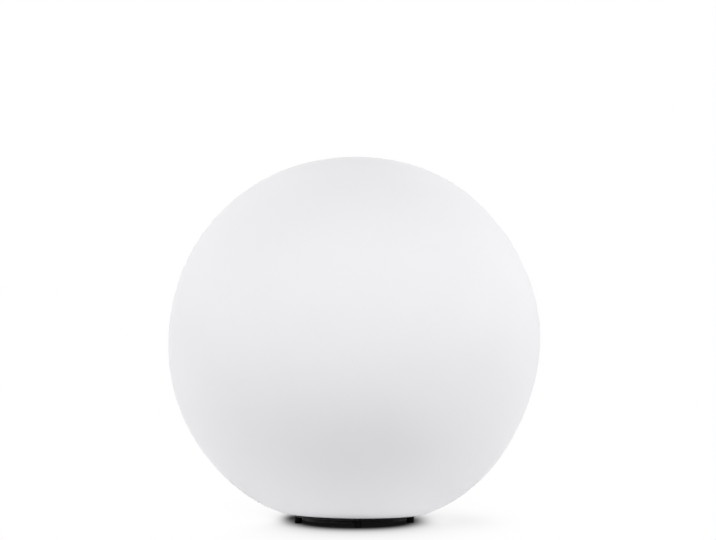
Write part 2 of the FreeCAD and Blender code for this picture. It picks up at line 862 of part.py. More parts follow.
def make_gland_body():
    """Gland body: hexagon under the deck, thread through it, and the cone thread for the dome nut."""
    body = new_body("gland_body")
    hex_top = size.deck_floor - size.gland_washer
    hex_prism(body, "Hexagon", size.gland_hex, size.gland_hex_floor, hex_top)
    pad(body, "UpperThread", [], hex_top - OVERLAP, size.gland_top, [(0.0, 0.0, size.gland_thread)])
    sleeve_floor = size.gland_nut_floor + size.gland_nut_shoulder + size.gland_sleeve_gap
    pad(body, "LowerThread", [], sleeve_floor, size.gland_hex_floor + OVERLAP,
        [(0.0, 0.0, size.gland_seal_radius + size.gland_sleeve_wall)])
    pocket(body, "UpperBore", [], size.gland_hex_floor, size.gland_top, [(0.0, 0.0, size.gland_bore)])
    pocket(body, "SealSeat", [], size.gland_nut_floor, size.gland_hex_floor,
           [(0.0, 0.0, size.gland_seal_radius)])
    return place_at_gland(body)


def make_gland_washer():
    """Flat rubber washer between the gland's hexagon and the deck."""
    body = ring("gland_washer", size.gland_thread + LOOSE, size.gland_hex / 2 - size.gland_washer_margin,
                size.deck_floor - size.gland_washer, size.deck_floor)
    return place_at_gland(body)


def make_gland_seal():
    """Rubber sleeve that the dome nut squeezes round the cable."""
    body = new_body("gland_seal")
    nose = size.gland_nut_floor + size.gland_nut_recess
    revolve(body, "Sleeve", [
        (size.gland_seal_bore, nose),
        (size.gland_seal_radius - size.gland_seal_chamfer, nose),
        (size.gland_seal_radius, nose + size.gland_seal_nose),
        (size.gland_seal_radius, size.gland_hex_floor),
        (size.gland_seal_bore, size.gland_hex_floor),
    ])
    return place_at_gland(body)


def make_gland_dome_nut():
    """Dome nut with a hexagon and a rounded mouth for the cable."""
    body = new_body("gland_dome_nut")
    top = size.gland_hex_floor - size.gland_nut_gap
    floor, shoulder = size.gland_nut_floor, size.gland_nut_floor + size.gland_nut_shoulder
    mouth = size.gland_nut_mouth
    hex_prism(body, "Hexagon", size.gland_hex, shoulder - OVERLAP / 2, top)
    revolve(body, "Dome", [
        (mouth, floor),
        (mouth + size.gland_nut_lip, floor, Bend(size.gland_nut_dome, 1)),
        (size.gland_hex / 2 - size.gland_nut_edge, shoulder),
        (mouth, shoulder),
    ])
    thread = size.gland_seal_radius + size.gland_sleeve_wall + RUNNING
    pocket(body, "Thread", [], shoulder, top, [(0.0, 0.0, thread)])
    pocket(body, "SealRoom", [], floor + size.gland_nut_recess, shoulder + LOOSE,
           [(0.0, 0.0, size.gland_seal_radius)])
    return place_at_gland(body)


def make_gland_locknut():
    """Lock nut on the deck."""
    body = new_body("gland_locknut")
    top = size.deck_top + size.locknut_thickness
    hex_prism(body, "Hexagon", size.gland_hex, size.deck_top, top)
    pocket(body, "Thread", [], size.deck_top, top, [(0.0, 0.0, size.gland_thread + RUNNING)])
    return place_at_gland(body)


# ---------------------------------------------------------------- bracket, nipple and screws


def make_tapping_screw(name, x, y, seat):
    """Pan-head tapping screw with a cross recess, its head's underside at the height seat."""
    body = new_body(name)
    half_slot = size.screw_slot / 2
    revolve(body, "Screw", [
        (0.0, -size.screw_length),
        (size.pilot_radius, -size.screw_length + size.screw_point),
        (size.pilot_radius, 0.0),
        (size.screw_head, 0.0),
        (size.screw_head, size.screw_head_height * size.screw_side_share, Bend(size.screw_crown, 1)),
        (size.screw_head * size.screw_crown_share, size.screw_head_height),
        (0.0, size.screw_head_height),
    ])
    arm = size.screw_head * size.screw_arm_share
    pocket(body, "CrossRecess", [[
        (-arm, -half_slot), (-half_slot, -half_slot), (-half_slot, -arm), (half_slot, -arm),
        (half_slot, -half_slot), (arm, -half_slot), (arm, half_slot), (half_slot, half_slot),
        (half_slot, arm), (-half_slot, arm), (-half_slot, half_slot), (-arm, half_slot),
    ]], size.screw_head_height - size.screw_recess, size.screw_head_height)
    return place(body, x, y, seat)


def make_holder_bracket():
    """Hat-shaped sheet steel bracket that lifts the lampholder to the middle of the globe."""
    body = new_body("holder_bracket")
    sheet = size.bracket_sheet
    foot_floor, foot_top = size.deck_top, size.deck_top + sheet
    outer, inner, reach = size.bracket_span, size.bracket_span - sheet, size.bracket_reach
    top, under = size.bracket_top, size.bracket_top - sheet
    big, small = size.bracket_bend, size.bracket_bend - sheet
    cross(body, "Hat", "Pad", [[
        (-reach, foot_floor), (-inner - big, foot_floor, Bend(big, 1)),
        (-inner, foot_floor + big), (-inner, under - small, Bend(small, -1)),
        (-inner + small, under), (inner - small, under, Bend(small, -1)),
        (inner, under - small), (inner, foot_floor + big, Bend(big, 1)),
        (inner + big, foot_floor), (reach, foot_floor),
        (reach, foot_top), (outer + small, foot_top, Bend(small, -1)),
        (outer, foot_top + small), (outer, top - big, Bend(big, 1)),
        (outer - big, top), (-outer + big, top, Bend(big, 1)),
        (-outer, top - big), (-outer, foot_top + small, Bend(small, -1)),
        (-outer - small, foot_top), (-reach, foot_top),
    ]], size.bracket_width)
    pocket(body, "ScrewHoles", [], foot_floor, foot_top, [
        (size.boss_offset, 0.0, size.pilot_radius + size.screw_hole_gap),
        (-size.boss_offset, 0.0, size.pilot_radius + size.screw_hole_gap),
    ])
    pocket(body, "NippleHole", [], under, top, [(0.0, 0.0, size.nipple_radius + 2 * LOOSE)])
    return body


def make_threaded_nipple():
    """Hollow M10 nipple that holds the lampholder on the bracket and lets the leads through."""
    return ring("threaded_nipple", size.nipple_bore, size.nipple_radius, size.nipple_floor, size.nipple_top)


def make_nipple_washer():
    """Washer under the bracket."""
    floor = size.bracket_top - size.bracket_sheet - size.nipple_washer
    return ring("nipple_washer", size.nipple_radius + 2 * LOOSE, size.nipple_washer_radius,
                floor, floor + size.nipple_washer)


def make_nipple_nut():
    """Hexagon nut on the nipple, under the washer."""
    body = new_body("nipple_nut")
    top = size.bracket_top - size.bracket_sheet - size.nipple_washer
    hex_prism(body, "Hexagon", size.nipple_hex, top - size.nipple_nut, top)
    pocket(body, "Thread", [], top - size.nipple_nut, top, [(0.0, 0.0, size.nipple_radius + RUNNING)])
    return body


# ---------------------------------------------------------------- lampholder


def make_holder_cup():
    """Lower half of the lampholder: a cup with a threaded hub on the nipple."""
    body = new_body("holder_cup")
    wall, thread = size.holder_wall, size.nipple_radius + RUNNING
    floor = size.bracket_top
    ledge = size.core_radius - wall
    side_start = floor + size.cup_side_start
    revolve(body, "Cup", [
        (thread, floor),
        (size.cup_foot_radius, floor),
        (size.holder_radius - wall, side_start - size.cup_side_rise, Bend(size.cup_curve, 1)),
        (size.holder_radius, side_start),
        (size.holder_radius, size.holder_joint),
        (size.holder_radius - wall, size.holder_joint),
        (size.holder_radius - wall, size.core_floor),
        (ledge, size.core_floor),
        (ledge, floor + size.cup_floor + size.cup_well),
        (size.hub_radius + size.cup_hub_groove, floor + size.cup_floor),
        (size.hub_radius, floor + size.cup_floor),
        (size.hub_radius, floor + size.hub_height),
        (thread, floor + size.hub_height),
    ])
    return body


def make_holder_core():
    """Ceramic core that insulates the contacts: a disc with a seat for the sleeve and two lead holes."""
    body = new_body("holder_core")
    revolve(body, "Core", [
        (0.0, size.core_floor),
        (size.core_radius, size.core_floor),
        (size.core_radius, size.core_top),
        (size.sleeve_radius + size.sleeve_wall, size.core_top),
        (size.sleeve_radius + size.sleeve_wall, size.core_top - size.core_seat),
        (size.core_well_radius, size.core_top - size.core_seat),
        (size.core_well_radius, size.core_top - size.core_well),
        (0.0, size.core_top - size.core_well),
    ])
    bore = size.lead_radius + 2 * LOOSE
    holes = [(*lead_point(side, size.lead_hole_reach), bore) for side in (-1.0, 1.0)]
    pocket(body, "LeadHoles", [], size.core_floor, size.core_top, holes)
    return body


def thread_outline(wall, crest, height):
    """Section of a round Edison thread: an arc on a short root, standing off a wall towards the crest."""
    side = 1 if crest.value > wall.value else -1
    base = wall - size.thread_root * side
    half = size.thread_width / 2
    crest_half = half * size.thread_crest_share
    low, high = (base, height - half), (base, height + half)
    shoulder_low, shoulder_high = (wall, height - half), (wall, height + half)
    crest_low, crest_high = (crest, height - crest_half), (crest, height + crest_half)
    corners = [low, shoulder_low, crest_low, crest_high, shoulder_high, high]
    return corners if side > 0 else corners[::-1]


def make_holder_sleeve():
    """Rolled metal sleeve with the Edison thread on its inside."""
    body = new_body("holder_sleeve")
    inner, outer = size.sleeve_radius, size.sleeve_radius + size.sleeve_wall
    floor = size.core_top - size.core_seat
    revolve(body, "Sleeve", [
        (inner, floor), (outer, floor), (outer, size.sleeve_top), (inner, size.sleeve_top),
    ])
    start = size.insulator_top + size.thread_start - size.screw_pitch / 2
    helix(body, "Thread", thread_outline(inner, size.sleeve_crest, start),
          size.screw_pitch, size.sleeve_turns)
    return body


def make_holder_contact():
    """Sprung bronze tongue under the bulb's tip."""
    body = new_body("holder_contact")
    strip, floor = size.tongue_strip, size.core_top - size.core_well
    top = size.tip_floor
    foot_end, foot_bend, tip_end = -size.tongue_foot_end, -size.tongue_foot_bend, size.tongue_tip_end
    tip_bend, shift = -size.tongue_tip_bend, size.tongue_bend_shift
    cross(body, "Tongue", "Pad", [[
        (foot_end, floor), (foot_bend, floor), (tip_bend, top - strip), (tip_end, top - strip),
        (tip_end, top), (tip_bend - shift, top),
        (foot_bend - shift, floor + strip), (foot_end, floor + strip),
    ]], size.tongue_width)
    return body


def make_holder_ring():
    """Upper half of the lampholder: a ribbed ring that screws down over the cup and guards the sleeve."""
    body = new_body("holder_ring")
    outer, inner = size.skirt_ring_radius, size.core_radius + size.ring_core_gap
    skirt = size.holder_joint - size.ring_overlap
    cup = size.holder_radius + RUNNING
    step = size.holder_joint + size.ring_gap
    revolve(body, "Guard", [
        (cup, skirt),
        (outer, skirt),
        (outer, size.holder_rim - size.ring_rim_round, Bend(size.ring_rim_round, 1)),
        (outer - size.ring_rim_round, size.holder_rim),
        (inner, size.holder_rim),
        (inner, step),
        (cup, step),
    ])
    half_rib = size.grip_rib_width / 2
    grip = pad(body, "GripRib", [
        rectangle(outer - OVERLAP, -half_rib, outer + size.grip_rib_depth, half_rib),
    ], skirt + size.grip_rib_start, size.holder_rim - size.grip_rib_end)
    around(body, "GripRibs", [grip], size.grip_rib_count)
    return body


# ---------------------------------------------------------------- bulb


def make_bulb_tip():
    """Soldered centre contact of the bulb."""
    body = new_body("bulb_tip")
    floor = size.tip_floor
    revolve(body, "Tip", [
        (0.0, floor),
        (size.tip_radius - size.tip_flat, floor, Bend(size.tip_round, 1)),
        (size.tip_radius, floor + size.tip_height),
        (0.0, floor + size.tip_height),
    ])
    return body


def make_bulb_insulator():
    """Black glass cone between the tip and the screw shell."""
    body = new_body("bulb_insulator")
    floor = size.tip_floor + size.tip_height
    lip, rim = size.insulator_lip, size.cap_root - size.insulator_inset
    revolve(body, "Cone", [
        (0.0, floor),
        (size.tip_radius + lip, floor),
        (rim, size.insulator_top - lip),
        (rim, size.insulator_top),
        (0.0, size.insulator_top),
    ])
    return body


def make_bulb_cap():
    """Nickel-plated screw shell of the bulb with its Edison thread."""
    body = new_body("bulb_cap")
    inner = size.cap_root - size.cap_wall
    floor, soft, lip_top = size.insulator_top, size.cap_round, size.insulator_top + size.cap_lip_wall
    revolve(body, "Shell", [
        (inner - size.cap_lip, floor),
        (size.cap_root - soft, floor, Bend(soft, 1)),
        (size.cap_root, floor + soft),
        (size.cap_root, size.cap_top),
        (inner, size.cap_top),
        (inner, lip_top),
        (inner - size.cap_lip, lip_top),
    ])
    start = size.insulator_top + size.thread_start
    helix(body, "Thread", thread_outline(size.cap_root, size.cap_crest, start),
          size.screw_pitch, size.cap_turns)
    return body


def dome_seat():
    """Height of the housing's rim, where the diffuser sits."""
    return size.bulb_waist + size.dome_seat


def board_shelf():
    """Height of the shelf in the housing that carries the LED board."""
    return size.bulb_waist + size.shelf_top


def make_bulb_housing():
    """Bulb's heat-spreading housing, from the screw shell up to the diffuser's seat."""
    body = new_body("bulb_housing")
    wall = size.bulb_wall
    neck, cone_foot = size.neck_bulb_radius, size.neck_bulb_radius + size.cone_foot_step
    floor, seat, shelf = size.cap_top - size.cap_overlap, dome_seat(), board_shelf()
    shelf_inner = size.board_radius - size.shelf_width
    revolve(body, "Housing", [
        (size.cap_root, floor),
        (neck, floor),
        (neck, size.shoulder),
        (cone_foot, size.shoulder + size.cone_foot_rise, Bend(size.cone_bow, 1)),
        (size.bulb_radius, size.bulb_waist),
        (size.bulb_radius, seat),
        (size.bulb_radius - wall, seat),
        (size.bulb_radius - wall, shelf),
        (shelf_inner, shelf),
        (shelf_inner, size.bulb_waist + size.shelf_floor),
        (cone_foot - size.cone_wall, size.shoulder + size.cone_inside_rise),
        (size.cap_root, size.shoulder),
    ])
    return body


def make_bulb_diffuser():
    """Opal dome of the bulb: most of a sphere with a collar that drops inside the housing's rim."""
    body = new_body("bulb_diffuser")
    outer = size.bulb_radius
    inner = size.bulb_radius - size.bulb_wall
    centre = size.bulb_centre
    seat = dome_seat()
    reach = centre - seat
    outer_start = root(outer * outer - reach * reach)
    inner_start = root(inner * inner - reach * reach)
    collar, collar_floor = inner - size.dome_gap, board_shelf() + size.board_thickness + size.board_gap
    revolve(body, "Dome", [
        (inner_start, collar_floor),
        (collar, collar_floor),
        (collar, seat),
        (outer_start, seat, Bend(outer, 1)),
        (0.0, centre + outer),
        (0.0, centre + inner, Bend(inner, -1)),
        (inner_start, seat),
    ])
    return body


def make_led_board():
    """Round aluminium circuit board that carries the chips."""
    body = new_body("bulb_led_board")
    floor = board_shelf()
    pad(body, "Board", [], floor, floor + size.board_thickness, [(0.0, 0.0, size.board_radius)])
    pocket(body, "WireHole", [], floor, floor + size.board_thickness, [(0.0, 0.0, size.wire_hole)])
    return body


def make_leds():
    """Ring of LED chips on the board."""
    floor = board_shelf() + size.board_thickness
    chips = []
    count, half = int(SIZES["led_count"]), size.led_size / 2
    for k in range(count):
        chip = new_body(f"Led{k}")
        x = size.led_ring * math.cos(2.0 * math.pi * k / count)
        y = size.led_ring * math.sin(2.0 * math.pi * k / count)
        pad(chip, f"Chip{k}", [rectangle(-half, -half, half, half)], 0.0, size.led_height)
        chips.append(place(chip, x, y, floor))
    return group("bulb_leds", chips)


def make_driver_board():
    """Upright circuit board of the bulb's driver."""
    body = new_body("bulb_driver_board")
    half_width, half_thick = size.driver_width / 2, size.driver_thickness / 2
    pad(body, "Board", [rectangle(-half_width, -half_thick, half_width, half_thick)],
        size.driver_floor, size.driver_top)
    return body


def make_driver_parts():
    """Electrolytic capacitor and coil on the driver board."""
    face = size.driver_thickness / 2
    capacitor = new_body("Capacitor")
    can, can_top, can_round = size.capacitor_radius, size.capacitor_height, size.capacitor_round
    revolve(capacitor, "Can", [
        (0.0, 0.0), (can, 0.0), (can, can_top - can_round, Bend(can_round, 1)),
        (can - can_round, can_top), (0.0, can_top),
    ])
    place(capacitor, 0.0, face + can, size.driver_floor + size.capacitor_lift)
    coil = new_body("Coil")
    half_width, half_depth = size.coil_width / 2, size.coil_depth / 2
    flange = rectangle(-half_width, -half_depth, half_width, half_depth)
    upper = size.coil_height - size.coil_flange
    pad(coil, "Core", [flange], 0.0, size.coil_flange)
    pad(coil, "Winding", [], size.coil_flange - OVERLAP, upper, [(0.0, 0.0, half_depth - size.coil_inset)])
    pad(coil, "Top", [flange], upper - OVERLAP, size.coil_height)
    place(coil, 0.0, face + half_depth, size.driver_top - size.coil_drop)
    return group("bulb_driver_parts", [capacitor, coil])


def make_bulb_seal():
    """Rubber ring round the bulb's neck, on the lampholder's rim."""
    floor = size.holder_rim + size.seal_gap
    return ring("bulb_seal", size.neck_bulb_radius + size.seal_gap, size.seal_outer,
                floor, floor + size.seal_thickness)


# ---------------------------------------------------------------- terminal block and leads


def block_axes():
    """The two towers' centre lines, left and right."""
    return -size.tower_offset, size.tower_offset


def clamp_spots(radius):
    """Circles for the four clamping screws of the terminal block."""
    offset = size.clamp_screw_offset
    return [(x, y, radius) for x in block_axes() for y in (-offset, offset)]


def make_terminal_block():
    """Two-way screw terminal block on the deck."""
    body = new_body("terminal_block")
    half_width, half_depth, half_tower = size.block_width / 2, size.block_depth / 2, size.tower_width / 2
    floor, step = size.deck_top, size.deck_top + size.block_step
    top = size.deck_top + size.block_height
    pad(body, "Foot", [rectangle(-half_width, -half_depth, half_width, half_depth)], floor, step)
    pad(body, "Towers", [
        rectangle(x - half_tower, -half_depth, x + half_tower, half_depth) for x in block_axes()
    ], step - OVERLAP, top)
    cross(body, "TubeBores", "Pocket", [], size.block_depth,
          [(x, size.tube_height, size.tube_radius) for x in block_axes()])
    wells = clamp_spots(size.clamp_screw_radius + size.clamp_well_gap)
    pocket(body, "ScrewWells", [], size.tube_height, top, wells)
    pocket(body, "FixingHole", [], floor, step, [(0.0, 0.0, size.pilot_radius + LOOSE)])
    return place(body, 0.0, -size.boss_offset)


def make_terminal_tubes():
    """Brass tubes, one in each tower, that join the conductors."""
    body = new_body("terminal_tubes")
    walls = [(x, size.tube_height, r) for x in block_axes() for r in (size.tube_radius, size.tube_bore)]
    cross(body, "Walls", "Pad", [], size.block_depth - size.tube_inset, walls)
    hole_top = size.tube_height + size.tube_radius + size.tube_hole_rise
    holes = clamp_spots(size.clamp_screw_radius + RUNNING)
    pocket(body, "ScrewHoles", [], size.tube_height, hole_top, holes)
    return place(body, 0.0, -size.boss_offset)


def make_terminal_screws():
    """Four slotted clamping screws in the terminal block."""
    body = new_body("terminal_screws")
    top = size.deck_top + size.block_height - size.clamp_screw_sink
    floor, half_slot = size.tube_height + size.clamp_screw_bite, size.clamp_slot_width / 2
    pad(body, "Shanks", [], floor, top, clamp_spots(size.clamp_screw_radius))
    slots = []
    for x, y, radius in clamp_spots(size.clamp_screw_radius + LOOSE):
        slots.append(rectangle(x - radius, y - half_slot, x + radius, y + half_slot))
    pocket(body, "Slots", slots, top - size.clamp_slot_depth, top)
    return place(body, 0.0, -size.boss_offset)


def lead_direction():
    """Level direction of the right-hand lead, from its tower towards the nipple, as (across, back)."""
    across = size.lead_spread - size.tower_offset
    back = size.boss_offset - size.block_depth / 2
    length = root(across * across + back * back)
    return across / length, back / length, length


def lead_point(side, reach):
    """A point of a lead's vertical plane, a given way past the nipple; side is 1 right, -1 left."""
    across, back, _ = lead_direction()
    return (size.lead_spread + across * reach) * side, back * reach


def make_lead(label, side, run):
    """One insulated lead from the terminal block up through the nipple, then at height run to the core."""
    body = new_body(label)
    across, back, length = lead_direction()
    start = -length - size.lead_bite
    big, bend, reach = size.lead_rise_bend, size.lead_bend, size.lead_hole_reach
    path = new_sketch(body, "Path", "XZ_Plane")
    draw_path(path, [
        (start, size.tube_height), (-big, size.tube_height, Bend(big, 1)),
        (0.0, size.tube_height + big), (0.0, run - bend, Bend(bend, -1)),
        (bend, run), (reach - bend, run, Bend(bend, 1)),
        (reach, run + bend), (reach, size.lead_top),
    ])
    section = new_sketch(body, "Section", "YZ_Plane", start)
    draw_circle(section, 0.0, size.tube_height, size.lead_radius)
    pipe = body.newObject("PartDesign::AdditivePipe", "Lead")
    pipe.Profile = section
    pipe.Spine = path
    turn = arctangent(back, across * side)
    body.Placement = FreeCAD.Placement(
        FreeCAD.Vector(size.lead_spread.value * side, 0, 0),
        FreeCAD.Rotation(FreeCAD.Vector(0, 0, 1), turn.value),
    )
    body.setExpression("Placement.Base.x", (size.lead_spread * side).formula)
    body.setExpression("Placement.Rotation.Angle", turn.formula)
    return body


# ---------------------------------------------------------------- assembly


def make_all():
    """Builds every sub-part and returns the objects whose labels name the files."""
    seat = size.deck_top + size.bracket_sheet
    parts = [
        make_globe_shell(),
        make_globe_gasket(),
        make_base_housing(),
        make_base_deck(),
        make_socket_tube(),
    ]
    for quarter, side in enumerate(("right", "back", "left", "front")):
        parts.append(make_foot(f"foot_{side}", quarter))
    parts += [
        make_gland_body(),
        make_gland_washer(),
        make_gland_seal(),
        make_gland_dome_nut(),
        make_gland_locknut(),
        make_holder_bracket(),
        group("bracket_screws", [
            make_tapping_screw("BracketScrewRight", size.boss_offset, 0.0, seat),
            make_tapping_screw("BracketScrewLeft", -size.boss_offset, 0.0, seat),
        ]),
        make_threaded_nipple(),
        make_nipple_washer(),
        make_nipple_nut(),
        make_holder_cup(),
        make_holder_core(),
        make_holder_sleeve(),
        make_holder_contact(),
        make_holder_ring(),
        make_bulb_tip(),
        make_bulb_insulator(),
        make_bulb_cap(),
        make_bulb_housing(),
        make_bulb_diffuser(),
        make_led_board(),
        make_leds(),
        make_driver_board(),
        make_driver_parts(),
        make_bulb_seal(),
        make_terminal_block(),
        make_terminal_tubes(),
        make_terminal_screws(),
        make_tapping_screw("block_screw", 0.0, -size.boss_offset, size.deck_top + size.block_step),
        make_lead("lead_live", 1.0, size.lead_run),
        make_lead("lead_neutral", -1.0, size.lead_run + size.lead_step),
    ]
    return parts


def check_and_export(parts):
    """Stops on any broken feature or shape, then writes one file for each sub-part."""
    doc.recompute()
    for feature in doc.Objects:
        if {"Invalid", "Error"} & set(feature.State):
            raise RuntimeError(f"{feature.Label} is {feature.State}: {feature.getStatusString()}")
    os.makedirs(BUILD_FOLDER, exist_ok=True)
    for part in parts:
        if part.Shape.isNull() or not part.Shape.isValid() or not part.Shape.Solids:
            raise RuntimeError(f"{part.Label} has no valid solid")
        box = part.Shape.BoundBox
        print(f"{part.Label:20s} solids {len(part.Shape.Solids):3d}"
              f"  x {box.XMin:8.2f} {box.XMax:8.2f}  y {box.YMin:8.2f} {box.YMax:8.2f}"
              f"  z {box.ZMin:8.2f} {box.ZMax:8.2f}")
        part.Shape.exportStep(f"{BUILD_FOLDER}/{part.Label}.step")


check_and_export(make_all())
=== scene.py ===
"""Garden globe light on a pale studio floor.

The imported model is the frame: every piece here takes its place and size from it. The globe and the
feet are surfaces computed afresh. The other parts are welded, smooth copies of the frame's own
nodes. Each finish is a node material. Lengths are in metres, +Z is up and the front is towards -Y.
"""

import logging
import math
from dataclasses import dataclass
from enum import Enum
from typing import ClassVar, Sequence

import bmesh
import bpy
import numpy as np
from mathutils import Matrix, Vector

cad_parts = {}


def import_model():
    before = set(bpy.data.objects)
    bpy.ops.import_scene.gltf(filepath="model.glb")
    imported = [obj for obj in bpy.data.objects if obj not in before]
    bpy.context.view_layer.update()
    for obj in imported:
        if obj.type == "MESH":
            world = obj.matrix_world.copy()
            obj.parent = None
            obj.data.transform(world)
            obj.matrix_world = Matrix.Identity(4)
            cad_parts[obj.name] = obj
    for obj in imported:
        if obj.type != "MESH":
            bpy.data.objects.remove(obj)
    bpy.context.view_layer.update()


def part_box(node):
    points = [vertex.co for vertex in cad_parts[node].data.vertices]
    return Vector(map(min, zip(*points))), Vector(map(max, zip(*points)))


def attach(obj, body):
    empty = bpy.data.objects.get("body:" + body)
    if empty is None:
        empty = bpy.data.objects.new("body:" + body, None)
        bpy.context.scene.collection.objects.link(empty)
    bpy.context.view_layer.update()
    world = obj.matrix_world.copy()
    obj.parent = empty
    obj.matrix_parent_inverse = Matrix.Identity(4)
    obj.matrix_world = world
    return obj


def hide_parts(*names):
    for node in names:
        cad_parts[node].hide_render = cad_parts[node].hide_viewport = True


LOG = logging.getLogger("globe_light")
MM = 0.001
MERGE_DISTANCE = 1e-6
SLIVER = 1e-7
Point = tuple[float, float]
Colour = tuple[float, float, float]
Piece = bpy.types.Object
Tree = bpy.types.NodeTree
Node = bpy.types.Node
Socket = bpy.types.NodeSocket
WHITE: Colour = (1.0, 1.0, 1.0)


class Body(Enum):
    """The rigid bodies of the frame that pieces ride on."""

    ROOT = "root"
    GLOBE = "globe"
    GLOBE_RING = "globe_ring"
    BULB = "bulb"
    BULB_RING = "bulb_ring"


# ---- surfaces


def arc(centre: Point, radius: float, start: float, end: float, count: int) -> np.ndarray:
    """Points of a circular arc: centre + radius (cos a, sin a), for a from start to end.

    Args:
        centre: The arc's centre, as (radius from the axis, height).
        radius: The arc's own radius.
        start: First angle in degrees, with 0 outwards and 90 up.
        end: Last angle in degrees.
        count: Number of points, both ends included.

    Returns:
        Rows of (radius from the axis, height).
    """
    angles = np.radians(np.linspace(start, end, count))
    across, up = radius * np.cos(angles), radius * np.sin(angles)
    return np.stack([centre[0] + across, centre[1] + up], axis=1)


def line(start: Point, end: Point, count: int) -> np.ndarray:
    """Points evenly spaced from start to end, both included."""
    return np.linspace(np.asarray(start), np.asarray(end), count)


def ease(value: np.ndarray, start: float, end: float) -> np.ndarray:
    """Eases from 0 at start to 1 at end: 3t^2 - 2t^3, with t the share of the way from 0 to 1."""
    share = np.clip((value - start) / (end - start), 0.0, 1.0)
    return share * share * (3.0 - 2.0 * share)


def profile(*stretches: np.ndarray) -> np.ndarray:
    """Joins stretches of (radius, height) points into one section.

    Args:
        *stretches: Arrays of points, one after another along the section.

    Returns:
        All points in order, without those that repeat the last.
    """
    points = np.concatenate(stretches)
    step = np.linalg.norm(np.diff(points, axis=0), axis=1)
    return points[np.concatenate([[True], step > SLIVER])]


def turn(points: np.ndarray, columns: int) -> np.ndarray:
    """Turns a profile about +Z: P(row, column) = (r cos a, r sin a, z), with a evenly spaced.

    Args:
        points: Rows of (radius, height).
        columns: Number of steps round the axis.

    Returns:
        An array of shape (rows, columns, 3).
    """
    angle = np.linspace(0.0, 2.0 * math.pi, columns, endpoint=False)
    radius, height = points[:, :1], points[:, 1:]
    level = height + 0.0 * angle
    return np.stack([radius * np.cos(angle), radius * np.sin(angle), level], axis=2)


def surface(name: str, grids: Sequence[np.ndarray], crease: float = 40.0) -> Piece:
    """Makes one object from grids of points that close round their columns.

    Each grid becomes quads between neighbouring rows and columns. Rows that fall on one point
    become a pole when the doubles are merged, and the faces are then turned outwards.

    Args:
        name: The object's name.
        grids: Arrays of shape (rows, columns, 3).
        crease: Angle in degrees past which an edge stays sharp.

    Returns:
        The new object, linked and smooth.
    """
    corners, quads, offset = [], [], 0
    for grid in grids:
        rows, columns = grid.shape[:2]
        index = offset + np.arange(rows * columns).reshape(rows, columns)
        after = np.roll(index, -1, axis=1)
        around = np.stack([index[:-1], after[:-1], after[1:], index[1:]], axis=2)
        quads.append(around.reshape(-1, 4))
        corners.append(grid.reshape(-1, 3))
        offset += rows * columns
    mesh = bpy.data.meshes.new(name)
    mesh.from_pydata(np.concatenate(corners), [], np.concatenate(quads).tolist())
    weld(mesh, outwards=True)
    return smooth_object(name, mesh, crease)


def weld(mesh: bpy.types.Mesh, outwards: bool) -> None:
    """Merges points that lie on one another.

    Args:
        mesh: The mesh, changed in place.
        outwards: Whether its faces are also turned outwards.
    """
    work = bmesh.new()
    work.from_mesh(mesh)
    bmesh.ops.remove_doubles(work, verts=work.verts, dist=MERGE_DISTANCE)
    bmesh.ops.dissolve_degenerate(work, edges=work.edges, dist=SLIVER)
    if outwards:
        bmesh.ops.recalc_face_normals(work, faces=work.faces)
    work.to_mesh(mesh)
    work.free()


def smooth_object(name: str, mesh: bpy.types.Mesh, crease: float) -> Piece:
    """Links a mesh as a smooth object.

    Args:
        name: The object's name.
        mesh: Its mesh.
        crease: Angle in degrees past which an edge stays sharp.

    Returns:
        The new object.
    """
    mesh.shade_smooth()
    mesh.set_sharp_from_angle(angle=math.radians(crease))
    piece = bpy.data.objects.new(name, mesh)
    bpy.context.scene.collection.objects.link(piece)
    return piece


def refined(node: str, crease: float = 30.0) -> Piece:
    """Copies one of the frame's nodes, welded and smooth, to stand in its place.

    Args:
        node: The node's name.
        crease: Angle in degrees past which an edge stays sharp.

    Returns:
        The new object, with no material yet.
    """
    mesh = bpy.data.objects[node].data.copy()
    mesh.materials.clear()
    weld(mesh, outwards=False)
    return smooth_object(node + "_dressed", mesh, crease)


# ---- shader groups


